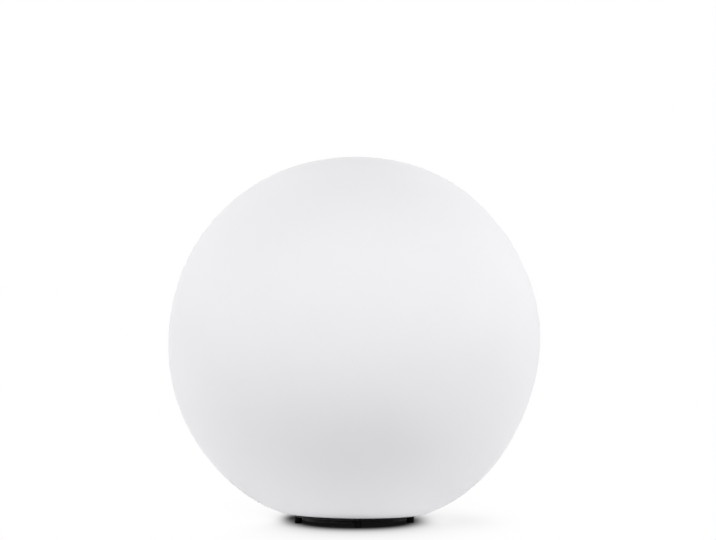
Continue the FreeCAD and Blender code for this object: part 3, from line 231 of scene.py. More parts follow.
class Graph:
    """Adds and links nodes in one node tree."""

    def __init__(self, tree: Tree) -> None:
        """Starts on an empty tree."""
        self.tree = tree
        tree.nodes.clear()

    def node(self, kind: str, **settings: object) -> Node:
        """Adds a node.

        Args:
            kind: The node's kind without its prefix, such as TexNoise.
            **settings: A property, or what feeds a socket, if the name is a socket's with
                underscores for spaces.

        Returns:
            The new node.
        """
        made = self.tree.nodes.new("ShaderNode" + kind)
        for key, value in settings.items():
            socket = made.inputs.get(key.replace("_", " "))
            if socket is None:
                setattr(made, key, value)
            else:
                self.feed(socket, value)
        return made

    def link(self, source: Socket, target: Socket) -> None:
        """Joins an output to an input."""
        self.tree.links.new(source, target)

    def feed(self, socket: Socket, value: object) -> None:
        """Gives an input its value.

        Args:
            socket: The input.
            value: An output to link to it, a number, or a colour.
        """
        if isinstance(value, Socket):
            self.link(value, socket)
        else:
            socket.default_value = (*value, 1.0) if isinstance(value, tuple) else value

    def math(self, operation: str, *values: object) -> Socket:
        """Adds a Math node.

        Args:
            operation: What it works out, such as MULTIPLY_ADD.
            *values: Numbers or outputs, in the order of its inputs.

        Returns:
            Its result.
        """
        made = self.node("Math", operation=operation)
        for socket, value in zip(made.inputs, values):
            self.feed(socket, value)
        return made.outputs[0]

    def blend(self, factor: object, low: object, high: object) -> Socket:
        """Adds a colour Mix node. Its colours are inputs 6 and 7 and output 2.

        Args:
            factor: Share of the second colour.
            low: First colour.
            high: Second colour, each a constant or an output.

        Returns:
            Its result.
        """
        made = self.tree.nodes.new("ShaderNodeMix")
        made.data_type = "RGBA"
        for socket, value in zip((made.inputs[0], *made.inputs[6:8]), (factor, low, high)):
            self.feed(socket, value)
        return made.outputs[2]

    def mix(self, factor: Socket, first: Node, second: Node) -> Node:
        """Adds a Mix Shader node.

        Args:
            factor: Share of the second shader.
            first: First shader.
            second: Second shader.

        Returns:
            The new node, a shader like its two inputs.
        """
        made = self.node("MixShader")
        for socket, source in zip(made.inputs, (factor, first.outputs[0], second.outputs[0])):
            self.link(source, socket)
        return made


@dataclass(frozen=True)
class GroupSpec:
    """Names and sockets of a shared shader group, which takes a place and a size.

    Attributes:
        name: The group's name.
        outputs: (label, kind) of each output.
        size: Label of its second input.
    """

    name: str
    outputs: tuple[tuple[str, str], ...]
    size: str = "Scale"

    def start(self) -> tuple[Graph, Node, dict[str, Socket]]:
        """Makes the empty group with its sockets.

        Returns:
            The group's graph, its output node, and what its inputs give, by label.
        """
        tree = bpy.data.node_groups.new(self.name, "ShaderNodeTree")
        inputs = (("Vector", "Vector"), (self.size, "Float"))
        for side, sockets in (("INPUT", inputs), ("OUTPUT", self.outputs)):
            for label, kind in sockets:
                kind = "NodeSocket" + kind
                tree.interface.new_socket(name=label, in_out=side, socket_type=kind)
        graph = Graph(tree)
        start, end = tree.nodes.new("NodeGroupInput"), tree.nodes.new("NodeGroupOutput")
        return graph, end, {label: start.outputs[label] for label, _ in inputs}


class Groups:
    """The shader groups that several finishes share, each built once.

    Attributes:
        made: The groups built so far, by name.
        fine_noise: Scale of the skin's fine noise, in scales of its cells.
        cell_share: Height of the skin's cells, in heights of its noise.
        streak: Squeeze of the turning marks' noise along X, Y and Z.
        corner_turn: Cosines of the normal's turn at which a corner starts and is full.
        corner_noise: Scale per metre of the noise that breaks up worn corners.
        settling: Power of the normal's height by which dust settles.
    """

    made: ClassVar[dict[str, Tree]] = {}
    fine_noise: ClassVar[float] = 1.7
    cell_share: ClassVar[float] = 0.6
    streak: ClassVar[tuple[float, float, float]] = (0.06, 0.06, 1.0)
    corner_turn: ClassVar[tuple[float, float]] = (0.999, 0.86)
    corner_noise: ClassVar[float] = 900.0
    settling: ClassVar[float] = 3.0

    @classmethod
    def get(cls, name: str) -> Tree:
        """Finds a group, or builds it when it is first asked for.

        Args:
            name: One of mottle, grain, brushed, edges and dust.

        Returns:
            The group's tree.
        """
        if name not in cls.made:
            cls.made[name] = getattr(cls, "_" + name)()
        return cls.made[name]

    @classmethod
    def _mottle(cls) -> Tree:
        """Slow cloudy variation: two octaves of noise, stretched to run from 0 to 1.

        Returns:
            The group's tree.
        """
        graph, end, given = GroupSpec("Mottle", (("Mask", "Float"),)).start()
        noise = graph.node("TexNoise", Detail=2.0, Roughness=0.55, **given)
        spread = graph.node("MapRange", From_Min=0.3, From_Max=0.7, Value=noise.outputs[0])
        graph.link(spread.outputs[0], end.inputs["Mask"])
        return graph.tree

    @classmethod
    def _grain(cls) -> Tree:
        """Moulded skin: rounded cells of a spark-eroded tool over a little fine noise.

        Returns:
            The group's tree.
        """
        graph, end, given = GroupSpec("MouldedGrain", (("Height", "Float"),)).start()
        cells = graph.node("TexVoronoi", feature="SMOOTH_F1", Smoothness=0.6, **given)
        finer = graph.math("MULTIPLY", given["Scale"], cls.fine_noise)
        noise = graph.node("TexNoise", Detail=3.0, Vector=given["Vector"], Scale=finer)
        height = graph.math(
            "MULTIPLY_ADD", cells.outputs["Distance"], cls.cell_share, noise.outputs[0])
        graph.link(height, end.inputs["Height"])
        return graph.tree

    @classmethod
    def _brushed(cls) -> Tree:
        """Turning or rolling marks: noise squeezed along Z, so that its streaks run round.

        Returns:
            The group's tree.
        """
        graph, end, given = GroupSpec("TurningMarks", (("Height", "Float"),)).start()
        squeeze = graph.node("VectorMath", operation="MULTIPLY", Vector=given["Vector"])
        squeeze.inputs[1].default_value = cls.streak
        noise = graph.node("TexNoise", Detail=4.0, Roughness=0.7, Vector=squeeze.outputs[0],
                           Scale=given["Scale"])
        graph.link(noise.outputs[0], end.inputs["Height"])
        return graph.tree

    @classmethod
    def _edges(cls) -> Tree:
        """Rounded corners: a bevelled normal, and a mask of the corners broken up by noise.

        Returns:
            The group's tree.
        """
        spec = GroupSpec("SoftEdges", (("Mask", "Float"), ("Normal", "Vector")), "Radius")
        graph, end, given = spec.start()
        bevel = graph.node("Bevel", samples=6, Radius=given["Radius"])
        compare = graph.node("VectorMath", operation="DOT_PRODUCT", Vector=bevel.outputs[0])
        graph.link(graph.node("NewGeometry").outputs["Normal"], compare.inputs[1])
        first, full = cls.corner_turn
        bend = graph.node("MapRange", From_Min=first, From_Max=full,
                          Value=compare.outputs["Value"])
        noise = graph.node("TexNoise", Scale=cls.corner_noise, Detail=3.0,
                           Vector=given["Vector"])
        worn = graph.math("MULTIPLY", bend.outputs[0], noise.outputs[0])
        graph.link(worn, end.inputs["Mask"])
        graph.link(bevel.outputs[0], end.inputs["Normal"])
        return graph.tree

    @classmethod
    def _dust(cls) -> Tree:
        """Dust on what faces up: the normal's height to a power, broken up by noise.

        Returns:
            The group's tree.
        """
        graph, end, given = GroupSpec("Dust", (("Mask", "Float"),)).start()
        normal = graph.node("NewGeometry").outputs["Normal"]
        facing = graph.node("SeparateXYZ", Vector=normal)
        level = graph.math("MAXIMUM", facing.outputs["Z"], 0.0)
        up = graph.math("POWER", level, cls.settling)
        noise = graph.node("TexNoise", Detail=4.0, Roughness=0.65, **given)
        graph.link(graph.math("MULTIPLY", up, noise.outputs[0]), end.inputs["Mask"])
        return graph.tree


# ---- finishes


class Texture(Enum):
    """Which shared group gives a finish its fine relief."""

    GRAIN = "grain"
    BRUSHED = "brushed"


@dataclass(frozen=True)
class Finish:
    """One surface finish, made into a node material when it is first used.

    Attributes:
        name: The material's name.
        colour: Main colour, linear.
        mottled: Colour that slow clouds pull towards; mottle_scale is their scale per metre.
        roughness: Middle roughness; spread is how far the clouds move it each way.
        metallic: 1 for bare metal.
        specular: Strength of the gloss.
        coat: Weight of the clear coat.
        texture: Fine relief, with its scale per metre and its height in metres.
        edge: Radius of the softened corners, or 0 for none.
        worn: Colour of the corners, mixed in by wear.
        dust: Share of dust on what faces up.
        coat_roughness: Roughness of every clear coat.
        dust_colour: Colour of all dust; dust_scale is the scale per metre of its noise.
    """

    name: str
    colour: Colour
    mottled: Colour
    roughness: float
    spread: float = 0.04
    mottle_scale: float = 25.0
    metallic: float = 0.0
    specular: float = 0.5
    coat: float = 0.0
    texture: Texture = Texture.GRAIN
    texture_scale: float = 900.0
    texture_height: float = 0.00002
    edge: float = 0.0
    worn: Colour = (0.5, 0.5, 0.5)
    wear: float = 0.0
    dust: float = 0.0

    coat_roughness: ClassVar[float] = 0.25
    dust_colour: ClassVar[Colour] = (0.45, 0.43, 0.40)
    dust_scale: ClassVar[float] = 60.0
    _made: ClassVar[dict[str, bpy.types.Material]] = {}

    def material(self) -> bpy.types.Material:
        """Finds the finish's material, or builds it when it is first asked for.

        Returns:
            The material.
        """
        if self.name not in Finish._made:
            Finish._made[self.name] = self._build()
        return Finish._made[self.name]

    def dress(self, piece: Piece) -> None:
        """Gives a piece this finish in every slot it has, or in a new one.

        Args:
            piece: The piece.
        """
        if not piece.data.materials:
            piece.data.materials.append(None)
        for slot in piece.material_slots:
            slot.material = self.material()

    def _build(self) -> bpy.types.Material:
        """Builds the node tree.

        Clouds, worn corners and dust go into the colour, and the relief into the normal.

        Returns:
            The new material.
        """
        material = bpy.data.materials.new(self.name)
        material.use_nodes = True
        graph = Graph(material.node_tree)
        where = graph.node("TexCoord").outputs["Object"]
        clouds = self._group(graph, "mottle", where, Scale=self.mottle_scale).outputs["Mask"]
        colour = graph.blend(clouds, self.colour, self.mottled)
        relief = self._group(graph, self.texture.value, where, Scale=self.texture_scale)
        bump = graph.node("Bump", Strength=1.0, Distance=self.texture_height,
                          Height=relief.outputs["Height"])
        if self.edge > 0.0:
            corners = self._group(graph, "edges", where, Radius=self.edge)
            graph.link(corners.outputs["Normal"], bump.inputs["Normal"])
            amount = graph.math("MULTIPLY", corners.outputs["Mask"], self.wear)
            colour = graph.blend(amount, colour, self.worn)
        if self.dust > 0.0:
            settled = self._group(graph, "dust", where, Scale=self.dust_scale)
            amount = graph.math("MULTIPLY", settled.outputs["Mask"], self.dust)
            colour = graph.blend(amount, colour, self.dust_colour)
        rough = graph.node("MapRange", To_Min=self.roughness - self.spread,
                           To_Max=self.roughness + self.spread, Value=clouds)
        shader = graph.node(
            "BsdfPrincipled", Metallic=self.metallic, Specular_IOR_Level=self.specular,
            Coat_Weight=self.coat, Coat_Roughness=self.coat_roughness,
            Roughness=rough.outputs[0], Base_Color=colour, Normal=bump.outputs[0])
        graph.node("OutputMaterial", Surface=shader.outputs[0])
        return material

    @staticmethod
    def _group(graph: Graph, name: str, where: Socket, **values: float) -> Node:
        """Places a shared group in a material.

        Args:
            graph: The material's graph.
            name: The group's name.
            where: The Object coordinates.
            **values: The material's own value for each of the group's inputs.

        Returns:
            The group's node.
        """
        made = graph.tree.nodes.new("ShaderNodeGroup")
        made.node_tree = Groups.get(name)
        graph.link(where, made.inputs["Vector"])
        for key, value in values.items():
            made.inputs[key].default_value = value
        return made


OPAL = Finish(
    "opal_polyethylene", (0.862, 0.860, 0.878), (0.847, 0.846, 0.864), 0.50, spread=0.03,
    mottle_scale=6.0, texture_scale=1400.0, texture_height=0.000012)
BASE_BLACK = Finish(
    "black_moulding", (0.010, 0.010, 0.011), (0.014, 0.014, 0.015), 0.46, spread=0.06,
    specular=0.17, mottle_scale=40.0, texture_scale=2200.0, edge=0.0004,
    worn=(0.05, 0.05, 0.055), wear=0.4, dust=0.02)
FOOT_RUBBER = Finish(
    "foot_rubber", (0.004, 0.004, 0.004), (0.006, 0.006, 0.006), 0.82, specular=0.09,
    texture_scale=3000.0, edge=0.0003, worn=(0.02, 0.02, 0.02), wear=0.4, dust=0.02)
SEAL_RUBBER = Finish(
    "seal_rubber", (0.018, 0.018, 0.018), (0.026, 0.026, 0.026), 0.78, specular=0.3,
    texture_scale=2500.0, edge=0.0002)
GLAND_BLACK = Finish(
    "gland_nylon", (0.020, 0.020, 0.022), (0.028, 0.028, 0.030), 0.38, texture_scale=3000.0,
    edge=0.0003, worn=(0.12, 0.12, 0.12), wear=0.4)
HOLDER_BLACK = Finish(
    "holder_resin", (0.018, 0.017, 0.017), (0.026, 0.025, 0.024), 0.33, texture_scale=2600.0,
    texture_height=0.00001, edge=0.0004, worn=(0.13, 0.12, 0.11), wear=0.4)
ZINC = Finish(
    "zinc_plate", (0.62, 0.63, 0.65), (0.53, 0.55, 0.60), 0.34, spread=0.09, metallic=1.0,
    mottle_scale=120.0, texture=Texture.BRUSHED, texture_scale=1800.0,
    texture_height=0.000008, edge=0.0003, worn=(0.80, 0.80, 0.80), wear=0.6)
BRASS = Finish(
    "turned_brass", (0.80, 0.58, 0.26), (0.66, 0.44, 0.19), 0.26, spread=0.08, metallic=1.0,
    mottle_scale=140.0, texture=Texture.BRUSHED, texture_scale=2600.0,
    texture_height=0.000008, edge=0.0002, worn=(0.92, 0.74, 0.40), wear=0.6)
BRONZE = Finish(
    "spring_bronze", (0.72, 0.46, 0.26), (0.60, 0.37, 0.22), 0.30, spread=0.06, metallic=1.0,
    mottle_scale=160.0, texture=Texture.BRUSHED, texture_scale=2400.0,
    texture_height=0.000006, edge=0.0001)
NICKEL = Finish(
    "nickel_plate", (0.70, 0.68, 0.64), (0.62, 0.60, 0.55), 0.22, spread=0.07, metallic=1.0,
    mottle_scale=150.0, texture=Texture.BRUSHED, texture_scale=2200.0,
    texture_height=0.000006)
CERAMIC = Finish(
    "holder_ceramic", (0.80, 0.78, 0.73), (0.73, 0.71, 0.66), 0.45, mottle_scale=200.0,
    texture_scale=3500.0, texture_height=0.00003, edge=0.0003)
BULB_WHITE = Finish(
    "bulb_housing_white", (0.82, 0.82, 0.81), (0.79, 0.79, 0.78), 0.38,
    texture_scale=2800.0, texture_height=0.000008, edge=0.0003)
BULB_OPAL = Finish(
    "bulb_dome_opal", (0.88, 0.88, 0.86), (0.86, 0.86, 0.84), 0.46, texture_scale=3200.0,
    texture_height=0.000008)
BOARD_WHITE = Finish(
    "solder_mask_white", (0.80, 0.80, 0.79), (0.76, 0.76, 0.75), 0.35, mottle_scale=90.0,
    texture_scale=2000.0, texture_height=0.000006)
BOARD_GREEN = Finish(
    "solder_mask_green", (0.020, 0.130, 0.045), (0.030, 0.170, 0.060), 0.30,
    mottle_scale=400.0, texture_scale=2400.0, texture_height=0.00001, coat=0.3)
CHIP_YELLOW = Finish(
    "phosphor_gel", (0.78, 0.58, 0.10), (0.84, 0.66, 0.16), 0.30, mottle_scale=600.0,
    texture_scale=4000.0, texture_height=0.00001, coat=0.4)
COMPONENT = Finish(
    "component_black", (0.016, 0.016, 0.020), (0.024, 0.024, 0.030), 0.35,
    mottle_scale=300.0, texture_scale=3500.0, texture_height=0.00001, edge=0.0002)
BLOCK_WHITE = Finish(
    "terminal_nylon", (0.76, 0.75, 0.70), (0.70, 0.69, 0.63), 0.42, mottle_scale=120.0,
    texture_scale=3000.0, texture_height=0.00001, edge=0.0003)
LEAD_BROWN = Finish(
    "lead_brown", (0.075, 0.026, 0.012), (0.095, 0.034, 0.016), 0.45,
    texture_scale=3500.0, texture_height=0.00001)
LEAD_BLUE = Finish(
    "lead_blue", (0.018, 0.060, 0.28), (0.024, 0.080, 0.34), 0.45,
    texture_scale=3500.0, texture_height=0.00001)


# ---- sub-assemblies


def settle(piece: Piece, body: Body, node: str, finish: Finish) -> None:
    """Dresses a piece, lets it ride on a body, and stands it in place of a node.

    Args:
        piece: The piece.
        body: The body it moves with.
        node: The frame's node that it stands for.
        finish: The finish it is dressed in.
    """
    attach(piece, body.value)
    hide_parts(node)
    finish.dress(piece)
    LOG.info("%s rides on %s and stands for %s", piece.name, body.value, node)


@dataclass
class Globe:
    """The hollow opal globe: sphere, rounded rim, flat underside and bayonet neck.

    Attributes:
        wall: Thickness of the moulding.
        rim_round: Radius between the flat and the sphere.
        neck_radius: Bore of the neck.
        neck_height: Height of the neck above the flat.
        mouth_round: Radius at the neck's lower end.
        lug_depth: How far a lug stands out from the neck; lug_sink is how far it starts inside.
        lug_root: Thickness of a lug at the neck; lug_crest is that at its inner edge.
        lug_low: Height above the flat at which a lug starts; lug_lead is its rise in a full turn.
        lug_span: Angle of a lug in degrees.
        lug_count: Number of lugs; lug_rows is the number of sections along one.
        columns: Steps round the globe.
        shrink: How much smaller than nominal the moulded sphere is.
        swells: (lobes, height, direction in degrees) of the moulding's unevenness.
        swells_end: Angles below level at which the swells start to fade and are gone.
        bulge: How far the moulding sags outwards above its rim.
        bulge_start, bulge_end: Angles below level between which it grows, and then fades.
        lean: How much lower the rim hangs on the right, at lean_reach from the middle.
        lean_start: Angles below level between which the lean sets in.
        seat: Radius of the flat's machined seat, which stays true.
    """

    wall: float = 3.6 * MM
    rim_round: float = 32.0 * MM
    neck_radius: float = 47.6 * MM
    neck_height: float = 19.7 * MM
    mouth_round: float = 1.2 * MM
    lug_depth: float = 2.2 * MM
    lug_sink: float = 0.3 * MM
    lug_root: float = 4.0 * MM
    lug_crest: float = 2.4 * MM
    lug_low: float = 9.1 * MM
    lug_lead: float = 14.0 * MM
    lug_span: float = 50.0
    lug_count: int = 3
    lug_rows: int = 26
    columns: int = 240
    shrink: float = 0.48 * MM
    swells: tuple[tuple[int, float, float], ...] = (
        (1, 0.64 * MM, 157.5), (2, 0.62 * MM, 27.1), (3, 0.26 * MM, -25.4),
        (4, 0.72 * MM, 46.3), (5, 0.30 * MM, 16.4), (6, 0.72 * MM, 7.4), (7, 0.35 * MM, 0.0))
    swells_end: tuple[float, float] = (58.0, 70.0)
    bulge: float = 0.55 * MM
    bulge_start: tuple[float, float] = (36.0, 60.0)
    bulge_end: tuple[float, float] = (60.0, 70.0)
    lean: float = 0.68 * MM
    lean_reach: float = 0.06
    lean_start: tuple[float, float] = (45.0, 65.0)
    seat: float = 66.0 * MM

    def __post_init__(self) -> None:
        """Reads the sphere's radius, centre and flat from the frame."""
        low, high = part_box("globe_shell")
        nominal = (high[0] - low[0]) / 2.0
        self.floor = low[2]
        self.centre = high[2] - nominal
        self.radius = nominal - self.shrink

    def rim(self) -> tuple[float, float]:
        """Finds where the sphere passes into the rim's round.

        Returns:
            The distance of the round's centre from the axis, and the angle in degrees below level.
        """
        drop = self.centre - self.floor - self.rim_round
        reach = self.radius - self.rim_round
        return math.sqrt(reach**2 - drop**2), math.degrees(math.asin(drop / reach))

    def shell_profile(self) -> np.ndarray:
        """Section of the moulding from the outer pole round to the inner pole.

        Arcs make the sphere, the rim and the mouth, and lines make the rest.

        Returns:
            Rows of (radius, height).
        """
        middle = (0.0, self.centre)
        inner = self.radius - self.wall
        rim, below = self.rim()
        rim_centre = (rim, self.floor + self.rim_round)
        inside = self.floor + self.wall
        neck, collar = self.neck_radius, self.neck_radius + self.wall
        top = self.floor + self.neck_height
        soft = self.mouth_round
        mouth = (neck + soft, self.floor + soft)
        return profile(
            arc(middle, self.radius, 90.0, -below, count=150),
            arc(rim_centre, self.rim_round, -below, -90.0, count=12),
            line((rim, self.floor), (neck + soft, self.floor), count=6),
            arc(mouth, soft, -90.0, -180.0, count=6),
            line((neck, self.floor + soft), (neck, top), count=8),
            line((neck, top), (collar, top), count=3),
            line((collar, top), (collar, inside), count=8),
            line((collar, inside), (rim, inside), count=6),
            arc(rim_centre, self.rim_round - self.wall, -90.0, -below, count=10),
            arc(middle, inner, -below, 90.0, count=110),
        )

    def uneven(self, points: np.ndarray) -> np.ndarray:
        """Swells the sphere a little, as a hollow moulding shrinks unevenly and sags at its rim.

        The push is outwards by the sum of height * cos(lobes * (angle - direction)), with the
        angle taken round the front-to-back axis. It is weighted by 1 - y^2 of the unit direction,
        so it is 0 at front and back, and it eases out above the rim. The bulge eases in and out
        above the rim too. Last, the rim outside the seat leans down to the right.

        Args:
            points: The moulding's points, of shape (rows, columns, 3).

        Returns:
            The moved points.
        """
        away = points - np.array([0.0, 0.0, self.centre])
        unit = away / np.linalg.norm(away, axis=2, keepdims=True)
        angle = np.arctan2(unit[..., 2], unit[..., 0])
        below = np.degrees(np.arcsin(-unit[..., 2]))
        push = sum(height * np.cos(lobes * (angle - math.radians(to)))
                   for lobes, height, to in self.swells)
        push *= (1.0 - unit[..., 1] ** 2) * (1.0 - ease(below, *self.swells_end))
        sag = self.bulge * ease(below, *self.bulge_start) * (1.0 - ease(below, *self.bulge_end))
        moved = points + unit * (push + sag)[..., None]
        outside = ease(np.hypot(points[..., 0], points[..., 1]), self.seat, self.rim()[0])
        low = ease(below, *self.lean_start)
        moved[..., 2] -= self.lean * points[..., 0] / self.lean_reach * outside * low
        return moved

    def lug(self, start: float) -> np.ndarray:
        """One bayonet lug: a trapezium carried along a helix on the neck's wall.

        Args:
            start: Angle in degrees at which it starts.

        Returns:
            Points of shape (rows, 4, 3), with both ends drawn together to a point.
        """
        root, crest = self.neck_radius + self.lug_sink, self.neck_radius - self.lug_depth
        section = np.array([
            (root, -self.lug_root / 2), (root, self.lug_root / 2),
            (crest, self.lug_crest / 2), (crest, -self.lug_crest / 2),
        ])
        angles = np.linspace(0.0, self.lug_span, self.lug_rows)
        turned = np.radians(start + angles)[:, None]
        rise = self.floor + self.lug_low + self.lug_lead * angles[:, None] / 360.0
        radius, height = section[None, :, 0], section[None, :, 1]
        across, along = radius * np.cos(turned), radius * np.sin(turned)
        rows = np.stack([across, along, rise + height], axis=2)
        first, last = (np.repeat(rows[[k]].mean(axis=1, keepdims=True), len(section), axis=1)
                       for k in (0, -1))
        return np.concatenate([first, rows, last])

    def build(self) -> None:
        """Makes the shell with its lugs and dresses it, and the gasket under it."""
        shell = self.uneven(turn(self.shell_profile(), self.columns))
        lugs = [self.lug(360.0 * k / self.lug_count) for k in range(self.lug_count)]
        globe = surface("globe_moulding", [shell, *lugs], crease=35.0)
        settle(globe, Body.GLOBE, "globe_shell", OPAL)
        gasket = refined("globe_gasket")
        settle(gasket, Body.GLOBE_RING, "globe_gasket", SEAL_RUBBER)


@dataclass
class Base:
    """The black base's three mouldings and its four rubber feet.

    Attributes:
        mouldings: Nodes of the black mouldings.
        feet: Nodes of the feet.
        columns: Steps round a foot; side_rows is the number of rings up its side.
        edge_round: Radius round the tread.
        flare: How much wider a foot is from flare_share of its height up.
        hollow: Depth of the tread's hollow; hollow_span is its slope's ends, in radii.
        grips: Heights of the grip rings, in heights of a foot.
        grip_depth: Depth of a grip ring.
        grip_width: Length of one radian of its cosine; grip_reach is half its width.
    """

    mouldings: tuple[str, ...] = ("base_housing", "base_deck", "socket_tube")
    feet: tuple[str, ...] = ("foot_front", "foot_right", "foot_back", "foot_left")
    columns: int = 48
    side_rows: int = 40
    edge_round: float = 0.45 * MM
    flare: float = 0.2 * MM
    flare_share: float = 0.3
    hollow: float = 0.25 * MM
    hollow_span: tuple[float, float] = (0.45, 0.55)
    grips: tuple[float, ...] = (0.45, 0.62)
    grip_depth: float = 0.15 * MM
    grip_width: float = 0.35 * MM
    grip_reach: float = 0.55 * MM

    def grip(self, away: np.ndarray) -> np.ndarray:
        """Share of a grip ring's depth at distances away from its middle, as a cosine well."""
        return np.clip(np.cos(away / self.grip_width), 0.0, 1.0) * (np.abs(away) < self.grip_reach)

    def foot(self, node: str) -> Piece:
        """One foot: a rubber ferrule with a rounded, slightly flared tread and two grip rings.

        The section runs from the middle of the tread out and up the side, whose radius dips at
        each grip ring.

        Args:
            node: The frame's node of the foot.

        Returns:
            The new object.
        """
        low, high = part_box(node)
        centre = ((low[0] + high[0]) / 2.0, (low[1] + high[1]) / 2.0)
        radius, top = (high[0] - low[0]) / 2.0, high[2] - low[2]
        soft, tread = self.edge_round, radius - self.flare
        heights = np.linspace(soft, top, self.side_rows)
        flared = np.clip(heights / (self.flare_share * top), 0.0, 1.0)
        dips = sum(self.grip(heights - at * top) for at in self.grips)
        sides = tread + (radius - tread) * flared - self.grip_depth * dips
        slope_start, slope_end = (share * radius for share in self.hollow_span)
        section = profile(
            line((0.0, self.hollow), (slope_start, self.hollow), count=4),
            line((slope_end, 0.0), (tread - soft, 0.0), count=3),
            arc((tread - soft, soft), soft, -90.0, 0.0, count=6),
            np.stack([sides, heights], axis=1),
            line((radius, top), (0.0, top), count=4),
        )
        grid = turn(section, self.columns) + np.array([centre[0], centre[1], low[2]])
        return surface(node + "_ferrule", [grid], crease=50.0)

    def build(self) -> None:
        """Dresses the mouldings and makes the feet."""
        for node in self.mouldings:
            settle(refined(node), Body.ROOT, node, BASE_BLACK)
        for node in self.feet:
            settle(self.foot(node), Body.ROOT, node, FOOT_RUBBER)


@dataclass
class Dressed:
    """A sub-assembly whose parts keep the frame's shapes, made smooth and given their finishes.

    Attributes:
        name: What the sub-assembly is called.
        body: The body its parts ride on.
        parts: (node, record slot, finish) of each part.
    """

    name: str
    body: Body
    parts: tuple[tuple[str, str, Finish], ...]

    def build(self) -> None:
        """Makes and dresses each part."""
        for node, slot, finish in self.parts:
            settle(refined(node), self.body, node, finish)
        LOG.info("%s: %d parts", self.name, len(self.parts))


GLAND = Dressed("cable gland", Body.ROOT, (
    ("gland_body", "gland_plastic", GLAND_BLACK),
    ("gland_dome_nut", "gland_plastic", GLAND_BLACK),
    ("gland_locknut", "gland_plastic", GLAND_BLACK),
    ("gland_seal", "seal_rubber", SEAL_RUBBER),
    ("gland_washer", "seal_rubber", SEAL_RUBBER),
))
BRACKET = Dressed("lampholder bracket", Body.ROOT, (
    ("holder_bracket", "bracket_steel", ZINC),
    ("bracket_screws", "screw_steel", ZINC),
    ("threaded_nipple", "brass", BRASS),
    ("nipple_washer", "screw_steel", ZINC),
    ("nipple_nut", "screw_steel", ZINC),
))
LAMPHOLDER = Dressed("lampholder", Body.ROOT, (
    ("holder_cup", "holder_black", HOLDER_BLACK),
    ("holder_ring", "holder_black", HOLDER_BLACK),
    ("holder_core", "ceramic", CERAMIC),
    ("holder_sleeve", "nickel", NICKEL),
    ("holder_contact", "contact_bronze", BRONZE),
))
BULB = Dressed("LED bulb", Body.BULB, (
    ("bulb_tip", "brass", BRASS),
    ("bulb_insulator", "component_black", COMPONENT),
    ("bulb_cap", "nickel", NICKEL),
    ("bulb_housing", "bulb_white", BULB_WHITE),
    ("bulb_diffuser", "bulb_opal", BULB_OPAL),
    ("bulb_led_board", "board_white", BOARD_WHITE),
    ("bulb_leds", "led_yellow", CHIP_YELLOW),
    ("bulb_driver_board", "board_green", BOARD_GREEN),
    ("bulb_driver_parts", "component_black", COMPONENT),
))
BULB_SEAL = Dressed("bulb seal", Body.BULB_RING, (("bulb_seal", "seal_rubber", SEAL_RUBBER),))
WIRING = Dressed("terminal block and leads", Body.ROOT, (
    ("terminal_block", "block_white", BLOCK_WHITE),
    ("terminal_tubes", "brass", BRASS),
    ("terminal_screws", "screw_steel", ZINC),
    ("block_screw", "screw_steel", ZINC),
    ("lead_live", "lead_brown", LEAD_BROWN),
    ("lead_neutral", "lead_blue", LEAD_BLUE),
))


# ---- studio


@dataclass(frozen=True)
class Softbox:
    """A rectangular lamp that points at the globe. It lights surfaces and isn't mirrored in them.

    Attributes:
        name: The lamp's name.
        place: Where it stands.
        width, height: Its size.
        power: Its strength in watts.
    """

    name: str
    place: tuple[float, float, float]
    width: float
    height: float
    power: float

    def build(self, aim: Vector) -> None:
        """Makes the lamp.

        Args:
            aim: The point that it is turned towards.
        """
        data = bpy.data.lights.new(self.name, "AREA")
        data.shape = "RECTANGLE"
        data.size, data.size_y = self.width, self.height
        data.energy = self.power
        lamp = bpy.data.objects.new(self.name, data)
        lamp.location = self.place
        lamp.rotation_euler = (aim - Vector(self.place)).to_track_quat("-Z", "Y").to_euler()
        lamp.visible_camera = False
        lamp.visible_glossy = False
        bpy.context.scene.collection.objects.link(lamp)


@dataclass(frozen=True)
class PaintedShade:
    """A painted shadow: a soft round dark place on the floor, beside the base's painted contact
    shadow.

    Attributes:
        strength: How dark it is in the middle, from 0 to 1.
        centre: Its middle on the floor.
        size: Distances along X and Y at which it has faded to 1/e of its strength.
    """

    strength: float
    centre: Point
    size: Point


